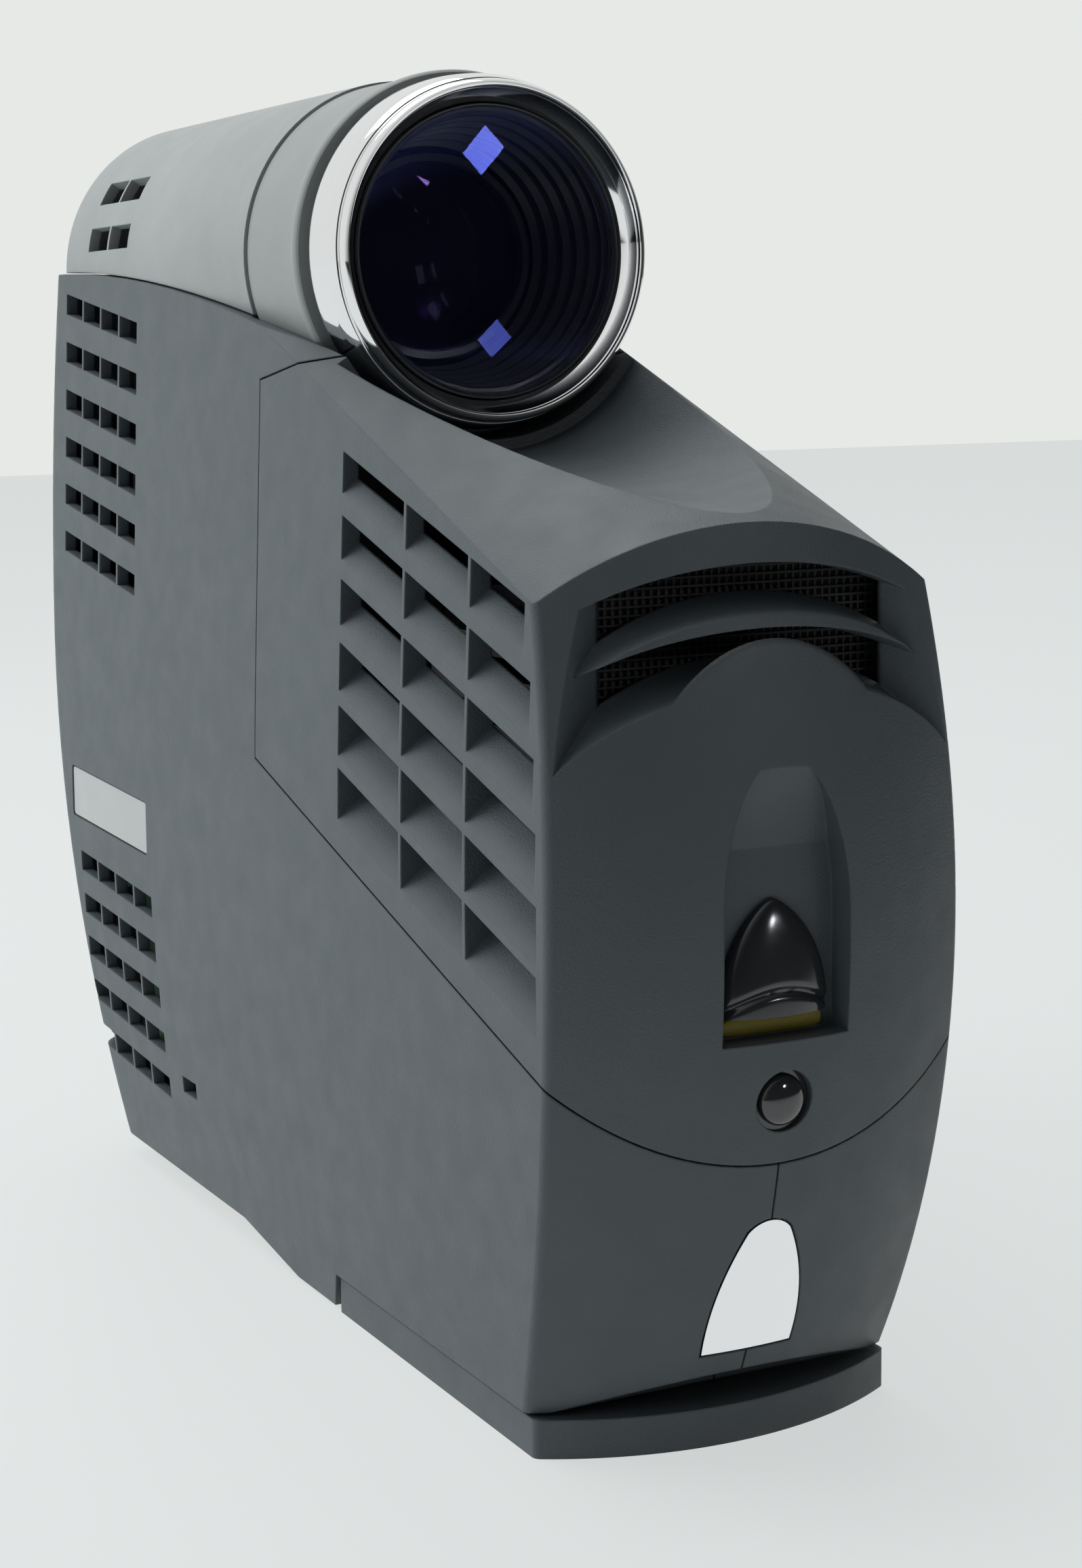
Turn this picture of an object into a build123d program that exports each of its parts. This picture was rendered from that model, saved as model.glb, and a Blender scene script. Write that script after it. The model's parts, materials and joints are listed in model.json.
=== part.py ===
from build123d import *
from copy import deepcopy
from math import cos, pi, radians, sin, sqrt, tan
import os

# An upright portable video projector: a tall narrow case, split into two side shells and a
# removable front cover, with a zoom lens in a round housing along the top.
# Frame: +Z up, the lens looks along -Y, +X is the projector's left side as it looks out.
# The origin is on the floor, in the middle of the width and of the depth. Millimetres.

# ---------------------------------------------------------------- case
depth = 230.0
lens_z = 170.8
housing_radius = 29.2
max_half_width = 33.3
widest_z = 70.0
floor_half_width = 29.6
shoulder_half_width = 29.3
wall = 2.2
seam_gap = 0.3
case_floor_z = 6.4
cheek_floor_z = 0.5
tail_floor_z = 4.3
cheek_start = 91.0
cheek_end = 109.0
tail_start = 133.0
plan_radius = 71.3
face_radius = 168.0
face_apex_z = 76.0
rear_radius = 280.0
rear_apex_z = 130.0
rear_corner_radius = 6.0
tail_corner_radius = 8.0
front_corner_radius = 1.5
shoulder_radius = 3.0
arch_radius = 51.0
arch_slope = 20.0
arch_start = 14.0
arch_start_z = 133.7

front_y = -depth / 2
top_z = lens_z + housing_radius


def behind(distance):
    """Y of a point that lies this far behind the crown of the front face."""
    return front_y + distance


def rear_at(z):
    """Y of the rear face at height z, in the middle of the case."""
    return behind(depth) - rear_radius + sqrt(rear_radius**2 - (z - rear_apex_z) ** 2)


# ---------------------------------------------------------------- seams
cover_seam = 113.5
cover_corner_z = 151.0
cover_top = 90.3
cover_top_z = 154.8
ledge_mid = 141.0
ledge_mid_z = 164.4
ledge_end = depth - 12.5
housing_end = depth - 3.3
housing_nose = 8.0
housing_taper = 0.6
housing_wall = 2.0
housing_lip = 0.6
diagonal_slope = 17.2
diagonal_z = 57.2
diagonal_at = 9.0
trough_drop = 11.0


def case_form(inset):
    """The outer form of the case, drawn in by inset on every side."""
    crown_sag = max_half_width - floor_half_width
    crown_radius = (widest_z**2 + crown_sag**2) / (2 * crown_sag)
    crown_centre = max_half_width - crown_radius
    rise = lens_z - widest_z
    tangent_rise = rise - sqrt(rise**2 - 2 * crown_radius * (max_half_width - shoulder_half_width))
    crown_top_z = widest_z + tangent_rise
    crown_top_x = crown_centre + sqrt(crown_radius**2 - tangent_rise**2)
    reach = max_half_width + 7
    with BuildPart() as form:
        with BuildSketch(Plane.YZ):
            with BuildLine():
                Line((behind(-5), case_floor_z), (behind(cheek_start), case_floor_z))
                Line((behind(cheek_start), case_floor_z), (behind(cheek_start + 2), cheek_floor_z))
                Line((behind(cheek_start + 2), cheek_floor_z), (behind(cheek_end), cheek_floor_z))
                Line((behind(cheek_end), cheek_floor_z), (behind(tail_start), tail_floor_z))
                Line((behind(tail_start), tail_floor_z), (rear_at(tail_floor_z), tail_floor_z))
                ThreePointArc(
                    (rear_at(tail_floor_z), tail_floor_z),
                    (rear_at(lens_z / 2), lens_z / 2),
                    (rear_at(lens_z), lens_z),
                )
                Line((rear_at(lens_z), lens_z), (behind(ledge_end), lens_z))
                ThreePointArc(
                    (behind(ledge_end), lens_z),
                    (behind(ledge_mid), ledge_mid_z),
                    (behind(cover_top), cover_top_z),
                )
                Line((behind(cover_top), cover_top_z), (behind(cover_top), lens_z + 5))
                Line((behind(cover_top), lens_z + 5), (behind(-5), lens_z + 5))
                Line((behind(-5), lens_z + 5), (behind(-5), case_floor_z))
            make_face()
            if inset:
                offset(amount=-inset, kind=Kind.INTERSECTION, mode=Mode.REPLACE)
        extrude(amount=reach, both=True)
        with BuildSketch(Plane.XZ):
            with BuildLine():
                for side in (1, -1):
                    ThreePointArc(
                        (side * floor_half_width, 0),
                        (side * max_half_width, widest_z),
                        (side * crown_top_x, crown_top_z),
                    )
                    Line((side * crown_top_x, crown_top_z), (side * shoulder_half_width, lens_z))
                    Line((side * shoulder_half_width, lens_z), (side * shoulder_half_width, lens_z + 6))
                Line((floor_half_width, 0), (-floor_half_width, 0))
                Line((-shoulder_half_width, lens_z + 6), (shoulder_half_width, lens_z + 6))
            make_face()
            if inset:
                offset(amount=-inset, kind=Kind.INTERSECTION, mode=Mode.REPLACE)
        extrude(amount=depth, both=True, mode=Mode.INTERSECT)
        with BuildSketch(Plane.XY.offset(face_apex_z)):
            radius = plan_radius - inset
            axis_y = behind(face_radius)
            crown_y = axis_y + face_radius - inset
            edge_y = crown_y - radius + sqrt(radius**2 - reach**2)
            with BuildLine():
                ThreePointArc((-reach, edge_y), (0, crown_y), (reach, edge_y))
                Polyline((reach, edge_y), (reach, axis_y), (-reach, axis_y), (-reach, edge_y))
            make_face()
        revolve(axis=Axis((0, behind(face_radius), face_apex_z), (1, 0, 0)), mode=Mode.INTERSECT)
        slope = radians(arch_slope)
        arch_plane = Plane(
            origin=(0, behind(arch_start), arch_start_z),
            x_dir=(-1, 0, 0),
            z_dir=(0, cos(slope), sin(slope)),
        )
        with BuildSketch(arch_plane):
            radius = arch_radius - inset
            edge_drop = -arch_radius + sqrt(radius**2 - reach**2)
            with BuildLine():
                ThreePointArc((-reach, edge_drop), (0, -inset), (reach, edge_drop))
                Polyline((reach, edge_drop), (reach, -2 * depth), (-reach, -2 * depth), (-reach, edge_drop))
            make_face()
        extrude(amount=2 * depth, both=True, mode=Mode.INTERSECT)
        uprights = [e for e in form.edges() if abs(e.center().X) > shoulder_half_width - inset - 0.5]
        rear_uprights = [e for e in uprights if e.center().Y > behind(depth - 25) and e.length > 30]
        fillet(rear_uprights, radius=rear_corner_radius - inset)
        if not inset:
            uprights = [e for e in form.edges() if abs(e.center().X) > shoulder_half_width]
            fillet([e for e in uprights if e.center().Y < behind(20)], radius=front_corner_radius)
    return form.part


def face_at(z, x=0.0):
    """Y of the front face at height z and at x from the middle."""
    sag = plan_radius - sqrt(plan_radius**2 - x**2)
    return behind(face_radius) - sqrt((face_radius - sag) ** 2 - (z - face_apex_z) ** 2)


def cap_height(radius, rise, at):
    """Height over its rim of a round cap of this radius and rise, at a distance from its axis."""
    curve = (radius**2 + rise**2) / (2 * rise)
    return rise - curve + sqrt(curve**2 - at**2)


def finish(piece, name):
    """Name a finished piece and write it."""
    piece.part.label = name
    export_step(piece.part, f"parts/{name}.step")


os.makedirs("parts", exist_ok=True)

# ---------------------------------------------------------------- lens sizes
ring_radius = 28.8
ring_wall = 1.8
ring_start = 99.6
ring_end = 121.7
ring_clearance = 0.8
scoop_radius = 31.5
scoop_flare = 4.5
bezel_front = 86.2
bezel_rear = 97.3
bezel_rear_radius = 28.1
bezel_front_radius = 25.9
bezel_inner_radius = 24.1
running_fit = 0.05
barrel_nose_start = 93.5
barrel_bore_radius = 20.0
nose_bore_radius = 22.0
nose_bore_end = 118.0
barrel_rear_radius = 22.0
barrel_end = 145.0
bulkhead_at = 122.5
bulkhead_thickness = 2.0
housing_start = ring_end + 0.4


def lens_path(margin):
    """The room that the light and the rings need, grown by margin."""
    flare_length = cover_top + 10
    flare_radius = scoop_radius + flare_length * tan(radians(scoop_flare))
    channel_end = bulkhead_at + margin
    with BuildPart() as path:
        with BuildSketch(Plane.YZ):
            Polygon(
                (behind(-10), lens_z),
                (behind(-10), lens_z + flare_radius + margin),
                (behind(cover_top), lens_z + scoop_radius + margin),
                (behind(cover_top), lens_z + ring_radius + ring_clearance + margin),
                (behind(channel_end), lens_z + ring_radius + ring_clearance + margin),
                (behind(channel_end), lens_z),
                align=None,
            )
        revolve(axis=Axis((0, 0, lens_z), (0, 1, 0)))
    return path.part


def housing_skin(radius, end):
    """The housing's solid form: a slightly tapered drum about the lens axis with a rounded end."""
    with BuildPart() as skin:
        with BuildSketch(Plane.YZ):
            with BuildLine():
                nose_start = behind(end - housing_nose)
                end_radius = radius - housing_taper
                Line((behind(housing_start), lens_z), (behind(housing_start), lens_z + radius))
                Line((behind(housing_start), lens_z + radius), (nose_start, lens_z + end_radius))
                EllipticalCenterArc(
                    (nose_start, lens_z), behind(end) - nose_start, end_radius, start_angle=0, arc_size=90
                )
                Line((behind(end), lens_z), (behind(housing_start), lens_z))
            make_face()
        revolve(axis=Axis((0, 0, lens_z), (0, 1, 0)))
    return skin.part


def cover_zone(gap):
    """The room of the front cover, grown by gap into the side shells."""
    slope = radians(diagonal_slope)
    seam_plane = Plane(
        origin=(0, behind(diagonal_at), diagonal_z),
        x_dir=(-1, 0, 0),
        z_dir=(0, cos(slope), sin(slope)),
    )
    reach = max_half_width + 5
    with BuildPart() as zone:
        with BuildSketch(seam_plane):
            with BuildLine():
                ThreePointArc((-max_half_width, -gap), (0, -trough_drop - gap), (max_half_width, -gap))
                Polyline(
                    (max_half_width, -gap),
                    (reach, -gap),
                    (reach, depth),
                    (-reach, depth),
                    (-reach, -gap),
                    (-max_half_width, -gap),
                )
            make_face()
        extrude(amount=depth, both=True)
        with BuildSketch(Plane.YZ):
            Polygon(
                (behind(-10), 0),
                (behind(cover_seam + gap), 0),
                (behind(cover_seam + gap), cover_corner_z + gap),
                (behind(cover_top), cover_top_z + gap),
                (behind(cover_top), top_z),
                (behind(-10), top_z),
                align=None,
            )
        extrude(amount=reach, both=True, mode=Mode.INTERSECT)
    return zone.part


# ---------------------------------------------------------------- openings in the front cover
louvre_rows = 6
louvre_pitch = 9.7
louvre_lip = 1.0
louvre_throat = 3.6
louvre_top_z = 121.5
louvre_slope = 16.4
louvre_margin = 2.8
louvre_depth = 5.0
louvre_columns = (33.2, 55.1, 78.7)
louvre_rib = 0.9
slot_pad_depth = 13.0
slot_inner_half = 17.8
slot_funnel = 2.32
slot_inner_at = 15.0
slot_outer_at = 5.0
slot_arch = 2.1
slot_height = 3.3
slot_tops = (126.7, 118.1)
slot_mouth_drop = 4.0
slot_mouth_arch = 9.0
thumb_half_width = 10.1
thumb_bottom_z = 61.7
thumb_top_z = 101.0
thumb_crown = 22.0
thumb_floor = 5.5
thumb_floor_top_z = 88.0
thumb_pad = 8.0
dome_z = 53.0
dome_hole_radius = 4.5
dome_radius = 3.7
pad_margin = 3.0
arc_steps = 20


def louvre_cells():
    """The cutters of one side's louvres: each narrows to a throat at the top of its row."""
    slope = tan(radians(louvre_slope))
    outer_x = max_half_width + 0.7
    inner_x = max_half_width - louvre_depth - 0.8
    cells = Part()
    for row in range(louvre_rows):
        row_top = louvre_top_z - row * louvre_pitch
        row_front = face_at(row_top - louvre_pitch / 2, max_half_width) + louvre_margin
        starts = [row_front] + [behind(edge) + louvre_rib for edge in louvre_columns[:-1]]
        ends = [behind(edge) for edge in louvre_columns]
        for start, end in zip(starts, ends):
            low = row_top + slope * (start - behind(louvre_margin + 11))
            high = row_top + slope * (end - behind(louvre_margin + 11))
            with BuildPart(mode=Mode.PRIVATE) as cell:
                for x, height in ((outer_x, louvre_pitch - louvre_lip), (inner_x, louvre_throat)):
                    with BuildSketch(Plane.YZ.offset(x)):
                        Polygon(
                            (start, low - height),
                            (end, high - height),
                            (end, high),
                            (start, low),
                            align=None,
                        )
                loft(ruled=True)
            cells += cell.part
    return cells


def arch_outline(half_width, top, arch, bottom, bottom_arch):
    """The lines of a flat band between two arches, drawn into the open BuildLine."""
    ThreePointArc((-half_width, top - arch), (0, top), (half_width, top - arch))
    Line((half_width, top - arch), (half_width, bottom - bottom_arch))
    ThreePointArc((half_width, bottom - bottom_arch), (0, bottom), (-half_width, bottom - bottom_arch))
    Line((-half_width, bottom - bottom_arch), (-half_width, top - arch))


def slot_cutter(top):
    """A funnel-shaped arched slot through the front face."""
    grow = (slot_inner_at - slot_outer_at) * slot_funnel
    outer_half = slot_inner_half + grow
    outer_arch = slot_arch * (outer_half / slot_inner_half) ** 2
    with BuildPart() as cutter:
        with BuildSketch(Plane.XZ.offset(-behind(slot_outer_at))):
            with BuildLine():
                bottom = top - slot_height - slot_mouth_drop
                arch_outline(outer_half, top, outer_arch, bottom, outer_arch + slot_mouth_arch)
            make_face()
        with BuildSketch(Plane.XZ.offset(-behind(slot_inner_at))):
            with BuildLine():
                arch_outline(slot_inner_half, top, slot_arch, top - slot_height, slot_arch)
            make_face()
        loft(ruled=True)
    return cutter.part


# ---------------------------------------------------------------- openings in the side shells
vent_cells = 4
vent_start = depth - 55.0
vent_rib = 0.9
vent_height = 3.9
upper_vent = {"rows": 6, "top": 161.0, "pitch": 9.14, "width": 41.5, "slope": 8.2, "shift": 0.0}
lower_vent = {"rows": 5, "top": 56.2, "pitch": 8.5, "width": 41.0, "slope": 3.5, "shift": -6.6}
vent_lower_shift = 0.55
plate_start = depth - 60.2
plate_length = 43.0
plate_height = 9.5
plate_centre_z = 69.6
plate_tilt = 2.0
plate_recess = 0.8
plate_sunk = 0.2
plate_corner = 0.8
lock_at = 155.0
lock_z = 22.9
lock_length = 7.0
lock_height = 3.0
lock_rim = 4.0
bracket_clearance = 3.0
pocket_half_width = 21.0
pocket_bottom_z = 62.0
pocket_top_z = 138.0
pocket_floor = depth - 13.0
pocket_wall = 2.0
panel_thickness = 2.0
button_bottom_z = 14.2
button_top_z = 35.0
button_half_width = 7.3
button_shoulder_z = 33.4
button_shoulder_half = 3.4
button_clearance = 0.3
foot_tongue_half = 24.0
foot_pin_at = 106.0
foot_pin_z = 4.2
foot_pin_radius = 1.5
foot_pin_grip = 4.5
tongue_room_z = 9.4
notch_half = 27.0
notch_rise = 4.2
notch_depth = 26.0
tongue_end = 112.5


def side_at(z):
    """X of the side wall at height z: an arc up to its tangent point, then a straight line."""
    crown_sag = max_half_width - floor_half_width
    crown_radius = (widest_z**2 + crown_sag**2) / (2 * crown_sag)
    rise = lens_z - widest_z
    tangent_rise = rise - sqrt(rise**2 - 2 * crown_radius * (max_half_width - shoulder_half_width))
    on_arc = min(z - widest_z, tangent_rise)
    arc_x = max_half_width - crown_radius + sqrt(crown_radius**2 - on_arc**2)
    above = max(z - widest_z - tangent_rise, 0)
    return arc_x - above * tangent_rise / sqrt(crown_radius**2 - tangent_rise**2)


def screw_seat_x(z):
    """X of the seat of a case screw at height z."""
    return side_at(z) - screw_seat_depth


def vent_cutters(group):
    """The cutters of one vent group, for the side shell at positive x."""
    cutters = Part()
    slope = tan(radians(group["slope"]))
    cell = (group["width"] + vent_rib) / vent_cells
    for row in range(group["rows"]):
        row_start = vent_start + group["shift"] - row * vent_lower_shift * (group["shift"] < 0)
        for column in range(vent_cells):
            start = row_start + column * cell
            end = start + cell - vent_rib
            low = group["top"] - row * group["pitch"] + slope * (start - row_start)
            high = low + slope * (end - start)
            with BuildPart(mode=Mode.PRIVATE) as cutter:
                with BuildSketch(Plane.YZ.offset(shoulder_half_width - 7)):
                    Polygon(
                        (behind(start), low - vent_height),
                        (behind(end), high - vent_height),
                        (behind(end), high),
                        (behind(start), low),
                        align=None,
                    )
                extrude(amount=max_half_width)
            cutters += cutter.part
    return cutters


def button_outline(gap):
    """The release button's outline in the X-Z plane, drawn into the open BuildLine."""
    half = button_half_width + gap
    shoulder = (button_shoulder_half + gap, button_shoulder_z + gap)
    flank = (half - 0.4, (button_bottom_z + button_shoulder_z) / 2 - 0.7)
    Line((-half, button_bottom_z - gap), (half, button_bottom_z - gap))
    ThreePointArc((half, button_bottom_z - gap), flank, shoulder)
    ThreePointArc(shoulder, (0, button_top_z + gap), (-shoulder[0], shoulder[1]))
    ThreePointArc((-shoulder[0], shoulder[1]), (-flank[0], flank[1]), (-half, button_bottom_z - gap))


# ---------------------------------------------------------------- case, before it is split
case_outer = case_form(0)
case_inner = case_form(wall)
roof_start = bulkhead_at + bulkhead_thickness

with BuildPart() as hollow:
    add(case_inner)
    add(lens_path(wall), mode=Mode.SUBTRACT)
    with BuildPart(mode=Mode.PRIVATE) as housing_room:
        seat = housing_wall + housing_lip
        add(housing_skin(housing_radius - seat, housing_end - seat))
        with BuildSketch(Plane.XZ.offset(-behind(roof_start))):
            with Locations((0, lens_z)):
                Rectangle(3 * housing_radius, 3 * housing_radius)
        extrude(amount=-depth, mode=Mode.INTERSECT)
    add(housing_room.part)

with BuildPart() as pads:
    with BuildSketch(Plane.YZ):
        Polygon(
            (behind(0), louvre_top_z - louvre_rows * louvre_pitch - pad_margin),
            (behind(louvre_columns[-1] + pad_margin), pocket_bottom_z + louvre_pitch * 2),
            (behind(louvre_columns[-1] + pad_margin), cover_corner_z - pad_margin),
            (behind(0), louvre_top_z + pad_margin),
            align=None,
        )
    extrude(amount=max_half_width, both=True)
    with BuildSketch(Plane.YZ):
        Rectangle(2 * depth, 2 * depth)
    extrude(amount=max_half_width - louvre_depth, both=True, mode=Mode.SUBTRACT)
    with BuildSketch(Plane.XZ.offset(-behind(slot_pad_depth))):
        slot_low_z = slot_tops[1] - slot_height - slot_mouth_drop - slot_mouth_arch
        with Locations((0, (slot_tops[0] + pad_margin + slot_low_z) / 2)):
            Rectangle(2 * max_half_width, slot_tops[0] + pad_margin - slot_low_z)
    extrude(amount=slot_pad_depth)
    with BuildSketch(Plane.XZ.offset(-behind(thumb_pad))):
        with Locations((0, (thumb_bottom_z + thumb_top_z) / 2)):
            Rectangle(2 * (thumb_half_width + pad_margin), thumb_top_z - thumb_bottom_z + 2 * pad_margin)
    extrude(amount=thumb_pad)
    with BuildSketch(Plane.XZ.offset(-behind(pocket_floor))):
        with Locations((0, (pocket_bottom_z + pocket_top_z) / 2)):
            Rectangle(
                2 * (pocket_half_width + pocket_wall),
                pocket_top_z - pocket_bottom_z + 2 * pocket_wall,
            )
    extrude(amount=pocket_floor - depth)
    add(case_outer, mode=Mode.INTERSECT)

with BuildPart() as case:
    add(case_outer)
    add(lens_path(0), mode=Mode.SUBTRACT)
    add(hollow.part, mode=Mode.SUBTRACT)
    add(pads.part)
    with BuildSketch(Plane.XZ.offset(-behind(bulkhead_at - 1))):
        with Locations((0, lens_z)):
            Circle(barrel_rear_radius + seam_gap)
    extrude(amount=-bulkhead_thickness - 3, mode=Mode.SUBTRACT)
case_for_cover = deepcopy(case.part)

# ---------------------------------------------------------------- side shells
with BuildPart() as shell_blank:
    add(case.part)
    with BuildSketch(Plane.XY):
        with Locations((seam_gap / 2 + max_half_width, 0)):
            Rectangle(2 * max_half_width, 2 * depth)
    extrude(amount=top_z, mode=Mode.INTERSECT)
    add(cover_zone(seam_gap), mode=Mode.SUBTRACT)
    with BuildSketch(Plane.XY):
        with Locations((0, (behind(cheek_start) + behind(tongue_end)) / 2)):
            Rectangle(2 * (foot_tongue_half + seam_gap), tongue_end - cheek_start)
    extrude(amount=tongue_room_z, mode=Mode.SUBTRACT)
    with BuildSketch(Plane.XZ.offset(-behind(pocket_floor))):
        with Locations((0, (pocket_bottom_z + pocket_top_z) / 2)):
            Rectangle(2 * pocket_half_width, pocket_top_z - pocket_bottom_z)
    extrude(amount=pocket_floor - depth - 5, mode=Mode.SUBTRACT)
    with BuildSketch(Plane.XZ.offset(-behind(-5))):
        with BuildLine():
            ThreePointArc(
                (-notch_half, case_floor_z),
                (0, case_floor_z + notch_rise),
                (notch_half, case_floor_z),
            )
            Polyline(
                (notch_half, case_floor_z),
                (notch_half, 0),
                (-notch_half, 0),
                (-notch_half, case_floor_z),
            )
        make_face()
    extrude(amount=-notch_depth, mode=Mode.SUBTRACT)
    with BuildSketch(Plane.XZ.offset(-behind(-5))):
        with BuildLine():
            button_outline(button_clearance)
        make_face()
    extrude(amount=-25, mode=Mode.SUBTRACT)


latch_stem_half = 2.0
latch_travel = 5.0
latch_stem_z = 69.0
latch_stem_height = 5.0
latch_gap = 0.3

board_x = 24.0
boss_radius = 2.6
main_board_box = {"start": 121.0, "end": depth - 23.0, "low": 73.0, "high": 146.0}
power_board_box = {"start": 121.0, "end": depth - 30.0, "low": 16.0, "high": 60.0}
board_thickness = 1.6
boss_inset = 5.0
shelf_thickness = 3.0
chassis_z = 66.0
chassis_start = 20.0
chassis_end = 181.0
chassis_half_width = 24.0
rail_start = 116.0
rail_end = 178.0
rail_inner = 20.0
lamp_fan_size = 40.0
lamp_fan_depth = 10.0
lamp_fan_start = 42.0
lamp_fan_z = 30.0
rear_fan_size = 40.0
rear_fan_depth = 10.0
rear_fan_start = depth - 40.0
fan_shelf_inner = 0.5
fan_shelf_margin = 2.0
fan_ledge_width = 18.0
foot_cheek_width = 10.0
rear_fan_z = 98.0
ballast_z = tail_floor_z + wall
ballast_corner = 1.5
ballast_box = {"start": 136.0, "length": 50.0, "inner": 0.6, "outer": 19.6, "height": 32.0}
screw_places = ((126.0, 66.0), (48.0, 22.0), (136.0, 12.5), (146.0, 152.0))
screw_head_radius = 2.8
screw_seat_depth = 1.3
screw_head_height = 1.1
screw_radius = 1.4
screw_hole_radius = 1.5
screw_length = 6.0


def board_bosses(box):
    """Y and Z of the four bosses that carry a board."""
    return [
        (behind(d), z)
        for d in (box["start"] + boss_inset, box["end"] - boss_inset)
        for z in (box["low"] + boss_inset, box["high"] - boss_inset)
    ]


def shell_half(side, board_box):
    """One side shell with its vents, label or lock openings, bosses and rails. side is 1 or -1."""
    with BuildPart() as inner:
        with BuildSketch(Plane.YZ.offset(board_x)):
            with Locations(*board_bosses(board_box)):
                Circle(boss_radius)
        extrude(amount=max_half_width - board_x)
        with BuildSketch(Plane.XY.offset(chassis_z - shelf_thickness)):
            with Locations(((rail_inner + max_half_width) / 2, behind((rail_start + rail_end) / 2))):
                Rectangle(max_half_width - rail_inner, rail_end - rail_start)
        extrude(amount=shelf_thickness)
        with BuildSketch(Plane.XY.offset(lamp_fan_z - shelf_thickness)):
            ledge_x = max_half_width - fan_ledge_width / 2
            with Locations((ledge_x, behind(lamp_fan_start + lamp_fan_size / 2))):
                Rectangle(fan_ledge_width, lamp_fan_size)
        extrude(amount=shelf_thickness)
        with BuildSketch(Plane.XY):
            cheek_x = foot_tongue_half + seam_gap + foot_cheek_width / 2
            with Locations((cheek_x, behind((cheek_start + tongue_end) / 2))):
                Rectangle(foot_cheek_width, tongue_end - cheek_start)
        extrude(amount=tongue_room_z + wall)
        with BuildSketch(Plane.XY.offset(tongue_room_z)):
            roof_end = foot_tongue_half + wall
            with Locations(((seam_gap / 2 + roof_end) / 2, behind((cheek_start + tongue_end) / 2))):
                Rectangle(roof_end - seam_gap / 2, tongue_end - cheek_start + 2 * wall)
        extrude(amount=wall)
        if side < 0:
            with BuildSketch(Plane.XY.offset(rear_fan_z - shelf_thickness)):
                shelf_x = (fan_shelf_inner + max_half_width) / 2
                with Locations((shelf_x, behind(rear_fan_start + rear_fan_depth / 2))):
                    Rectangle(max_half_width - fan_shelf_inner, rear_fan_depth + 2 * fan_shelf_margin)
            extrude(amount=shelf_thickness)
        add(case_outer, mode=Mode.INTERSECT)
    with BuildPart() as half:
        add(shell_blank.part)
        add(inner.part)
        for group in (upper_vent, lower_vent):
            add(vent_cutters(group), mode=Mode.SUBTRACT)
        with BuildSketch(Plane.YZ.offset(foot_tongue_half)):
            with Locations((behind(foot_pin_at), foot_pin_z)):
                Circle(foot_pin_radius + running_fit)
        extrude(amount=foot_pin_grip, mode=Mode.SUBTRACT)
        if side > 0:
            for place, z in screw_places:
                with BuildSketch(Plane.YZ.offset(screw_seat_x(z))):
                    with Locations((behind(place), z)):
                        Circle(screw_head_radius + latch_gap)
                extrude(amount=max_half_width, mode=Mode.SUBTRACT)
                with BuildSketch(Plane.YZ.offset(board_x)):
                    with Locations((behind(place), z)):
                        Circle(screw_hole_radius)
                extrude(amount=max_half_width, mode=Mode.SUBTRACT)
        else:
            with BuildSketch(Plane.YZ.offset(shoulder_half_width - 5)):
                with Locations((behind(lock_at), lock_z)):
                    Rectangle(lock_length, lock_height)
            extrude(amount=max_half_width, mode=Mode.SUBTRACT)
    return half.part if side > 0 else half.part.mirror(Plane.YZ)


# ---------------------------------------------------------------- front cover
with BuildPart() as thumb_recess:
    with BuildSketch(Plane.XZ.offset(-behind(thumb_pad))):
        crown = [
            (thumb_half_width * cos(turn), thumb_top_z - thumb_crown * (1 - sin(turn)))
            for turn in [step * pi / arc_steps for step in range(arc_steps + 1)]
        ]
        Polygon((-thumb_half_width, thumb_bottom_z), (thumb_half_width, thumb_bottom_z), *crown, align=None)
    extrude(amount=thumb_pad + 5)
    with BuildSketch(Plane.YZ):
        Polygon(
            (behind(-5), thumb_bottom_z - 1),
            (behind(thumb_floor), thumb_bottom_z - 1),
            (behind(thumb_floor), thumb_floor_top_z),
            (behind(1), thumb_top_z + 0.5),
            (behind(-5), thumb_top_z + 0.5),
            align=None,
        )
    extrude(amount=thumb_half_width + 1, both=True, mode=Mode.INTERSECT)

with BuildPart() as slots:
    for slot_top in slot_tops:
        add(slot_cutter(slot_top))

with BuildPart() as lamp_cover:
    add(case_for_cover)
    add(cover_zone(0), mode=Mode.INTERSECT)
    add(thumb_recess.part, mode=Mode.SUBTRACT)
    with BuildSketch(Plane.XZ.offset(-behind(thumb_pad + 1))):
        with Locations((0, latch_stem_z + (latch_stem_height + latch_travel) / 2)):
            Rectangle(
                2 * (latch_stem_half + latch_gap),
                latch_stem_height + latch_travel + 2 * latch_gap,
            )
    extrude(amount=thumb_pad, mode=Mode.SUBTRACT)
    with BuildSketch(Plane.XZ.offset(-behind(thumb_pad + 1))):
        with Locations((0, dome_z)):
            RegularPolygon(dome_hole_radius, 2 * arc_steps)
    extrude(amount=2 * thumb_pad, mode=Mode.SUBTRACT)
    cells = louvre_cells()
    add(cells, mode=Mode.SUBTRACT)
    add(cells.mirror(Plane.YZ), mode=Mode.SUBTRACT)
    add(slots.part, mode=Mode.SUBTRACT)
finish(lamp_cover, "lamp_cover")

# ---------------------------------------------------------------- shells, label plate and screws
with BuildPart() as left_shell:
    add(shell_half(1, main_board_box))
finish(left_shell, "left_shell")

with BuildPart() as right_shell:
    add(shell_half(-1, power_board_box))
    with BuildSketch(Plane.YZ.offset(-side_at(plate_centre_z) + plate_recess)):
        with Locations(Location((behind(plate_start + plate_length / 2), plate_centre_z), plate_tilt)):
            RectangleRounded(plate_length + 2 * latch_gap, plate_height + 2 * latch_gap, plate_corner)
    extrude(amount=-wall, mode=Mode.SUBTRACT)
finish(right_shell, "right_shell")

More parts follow.
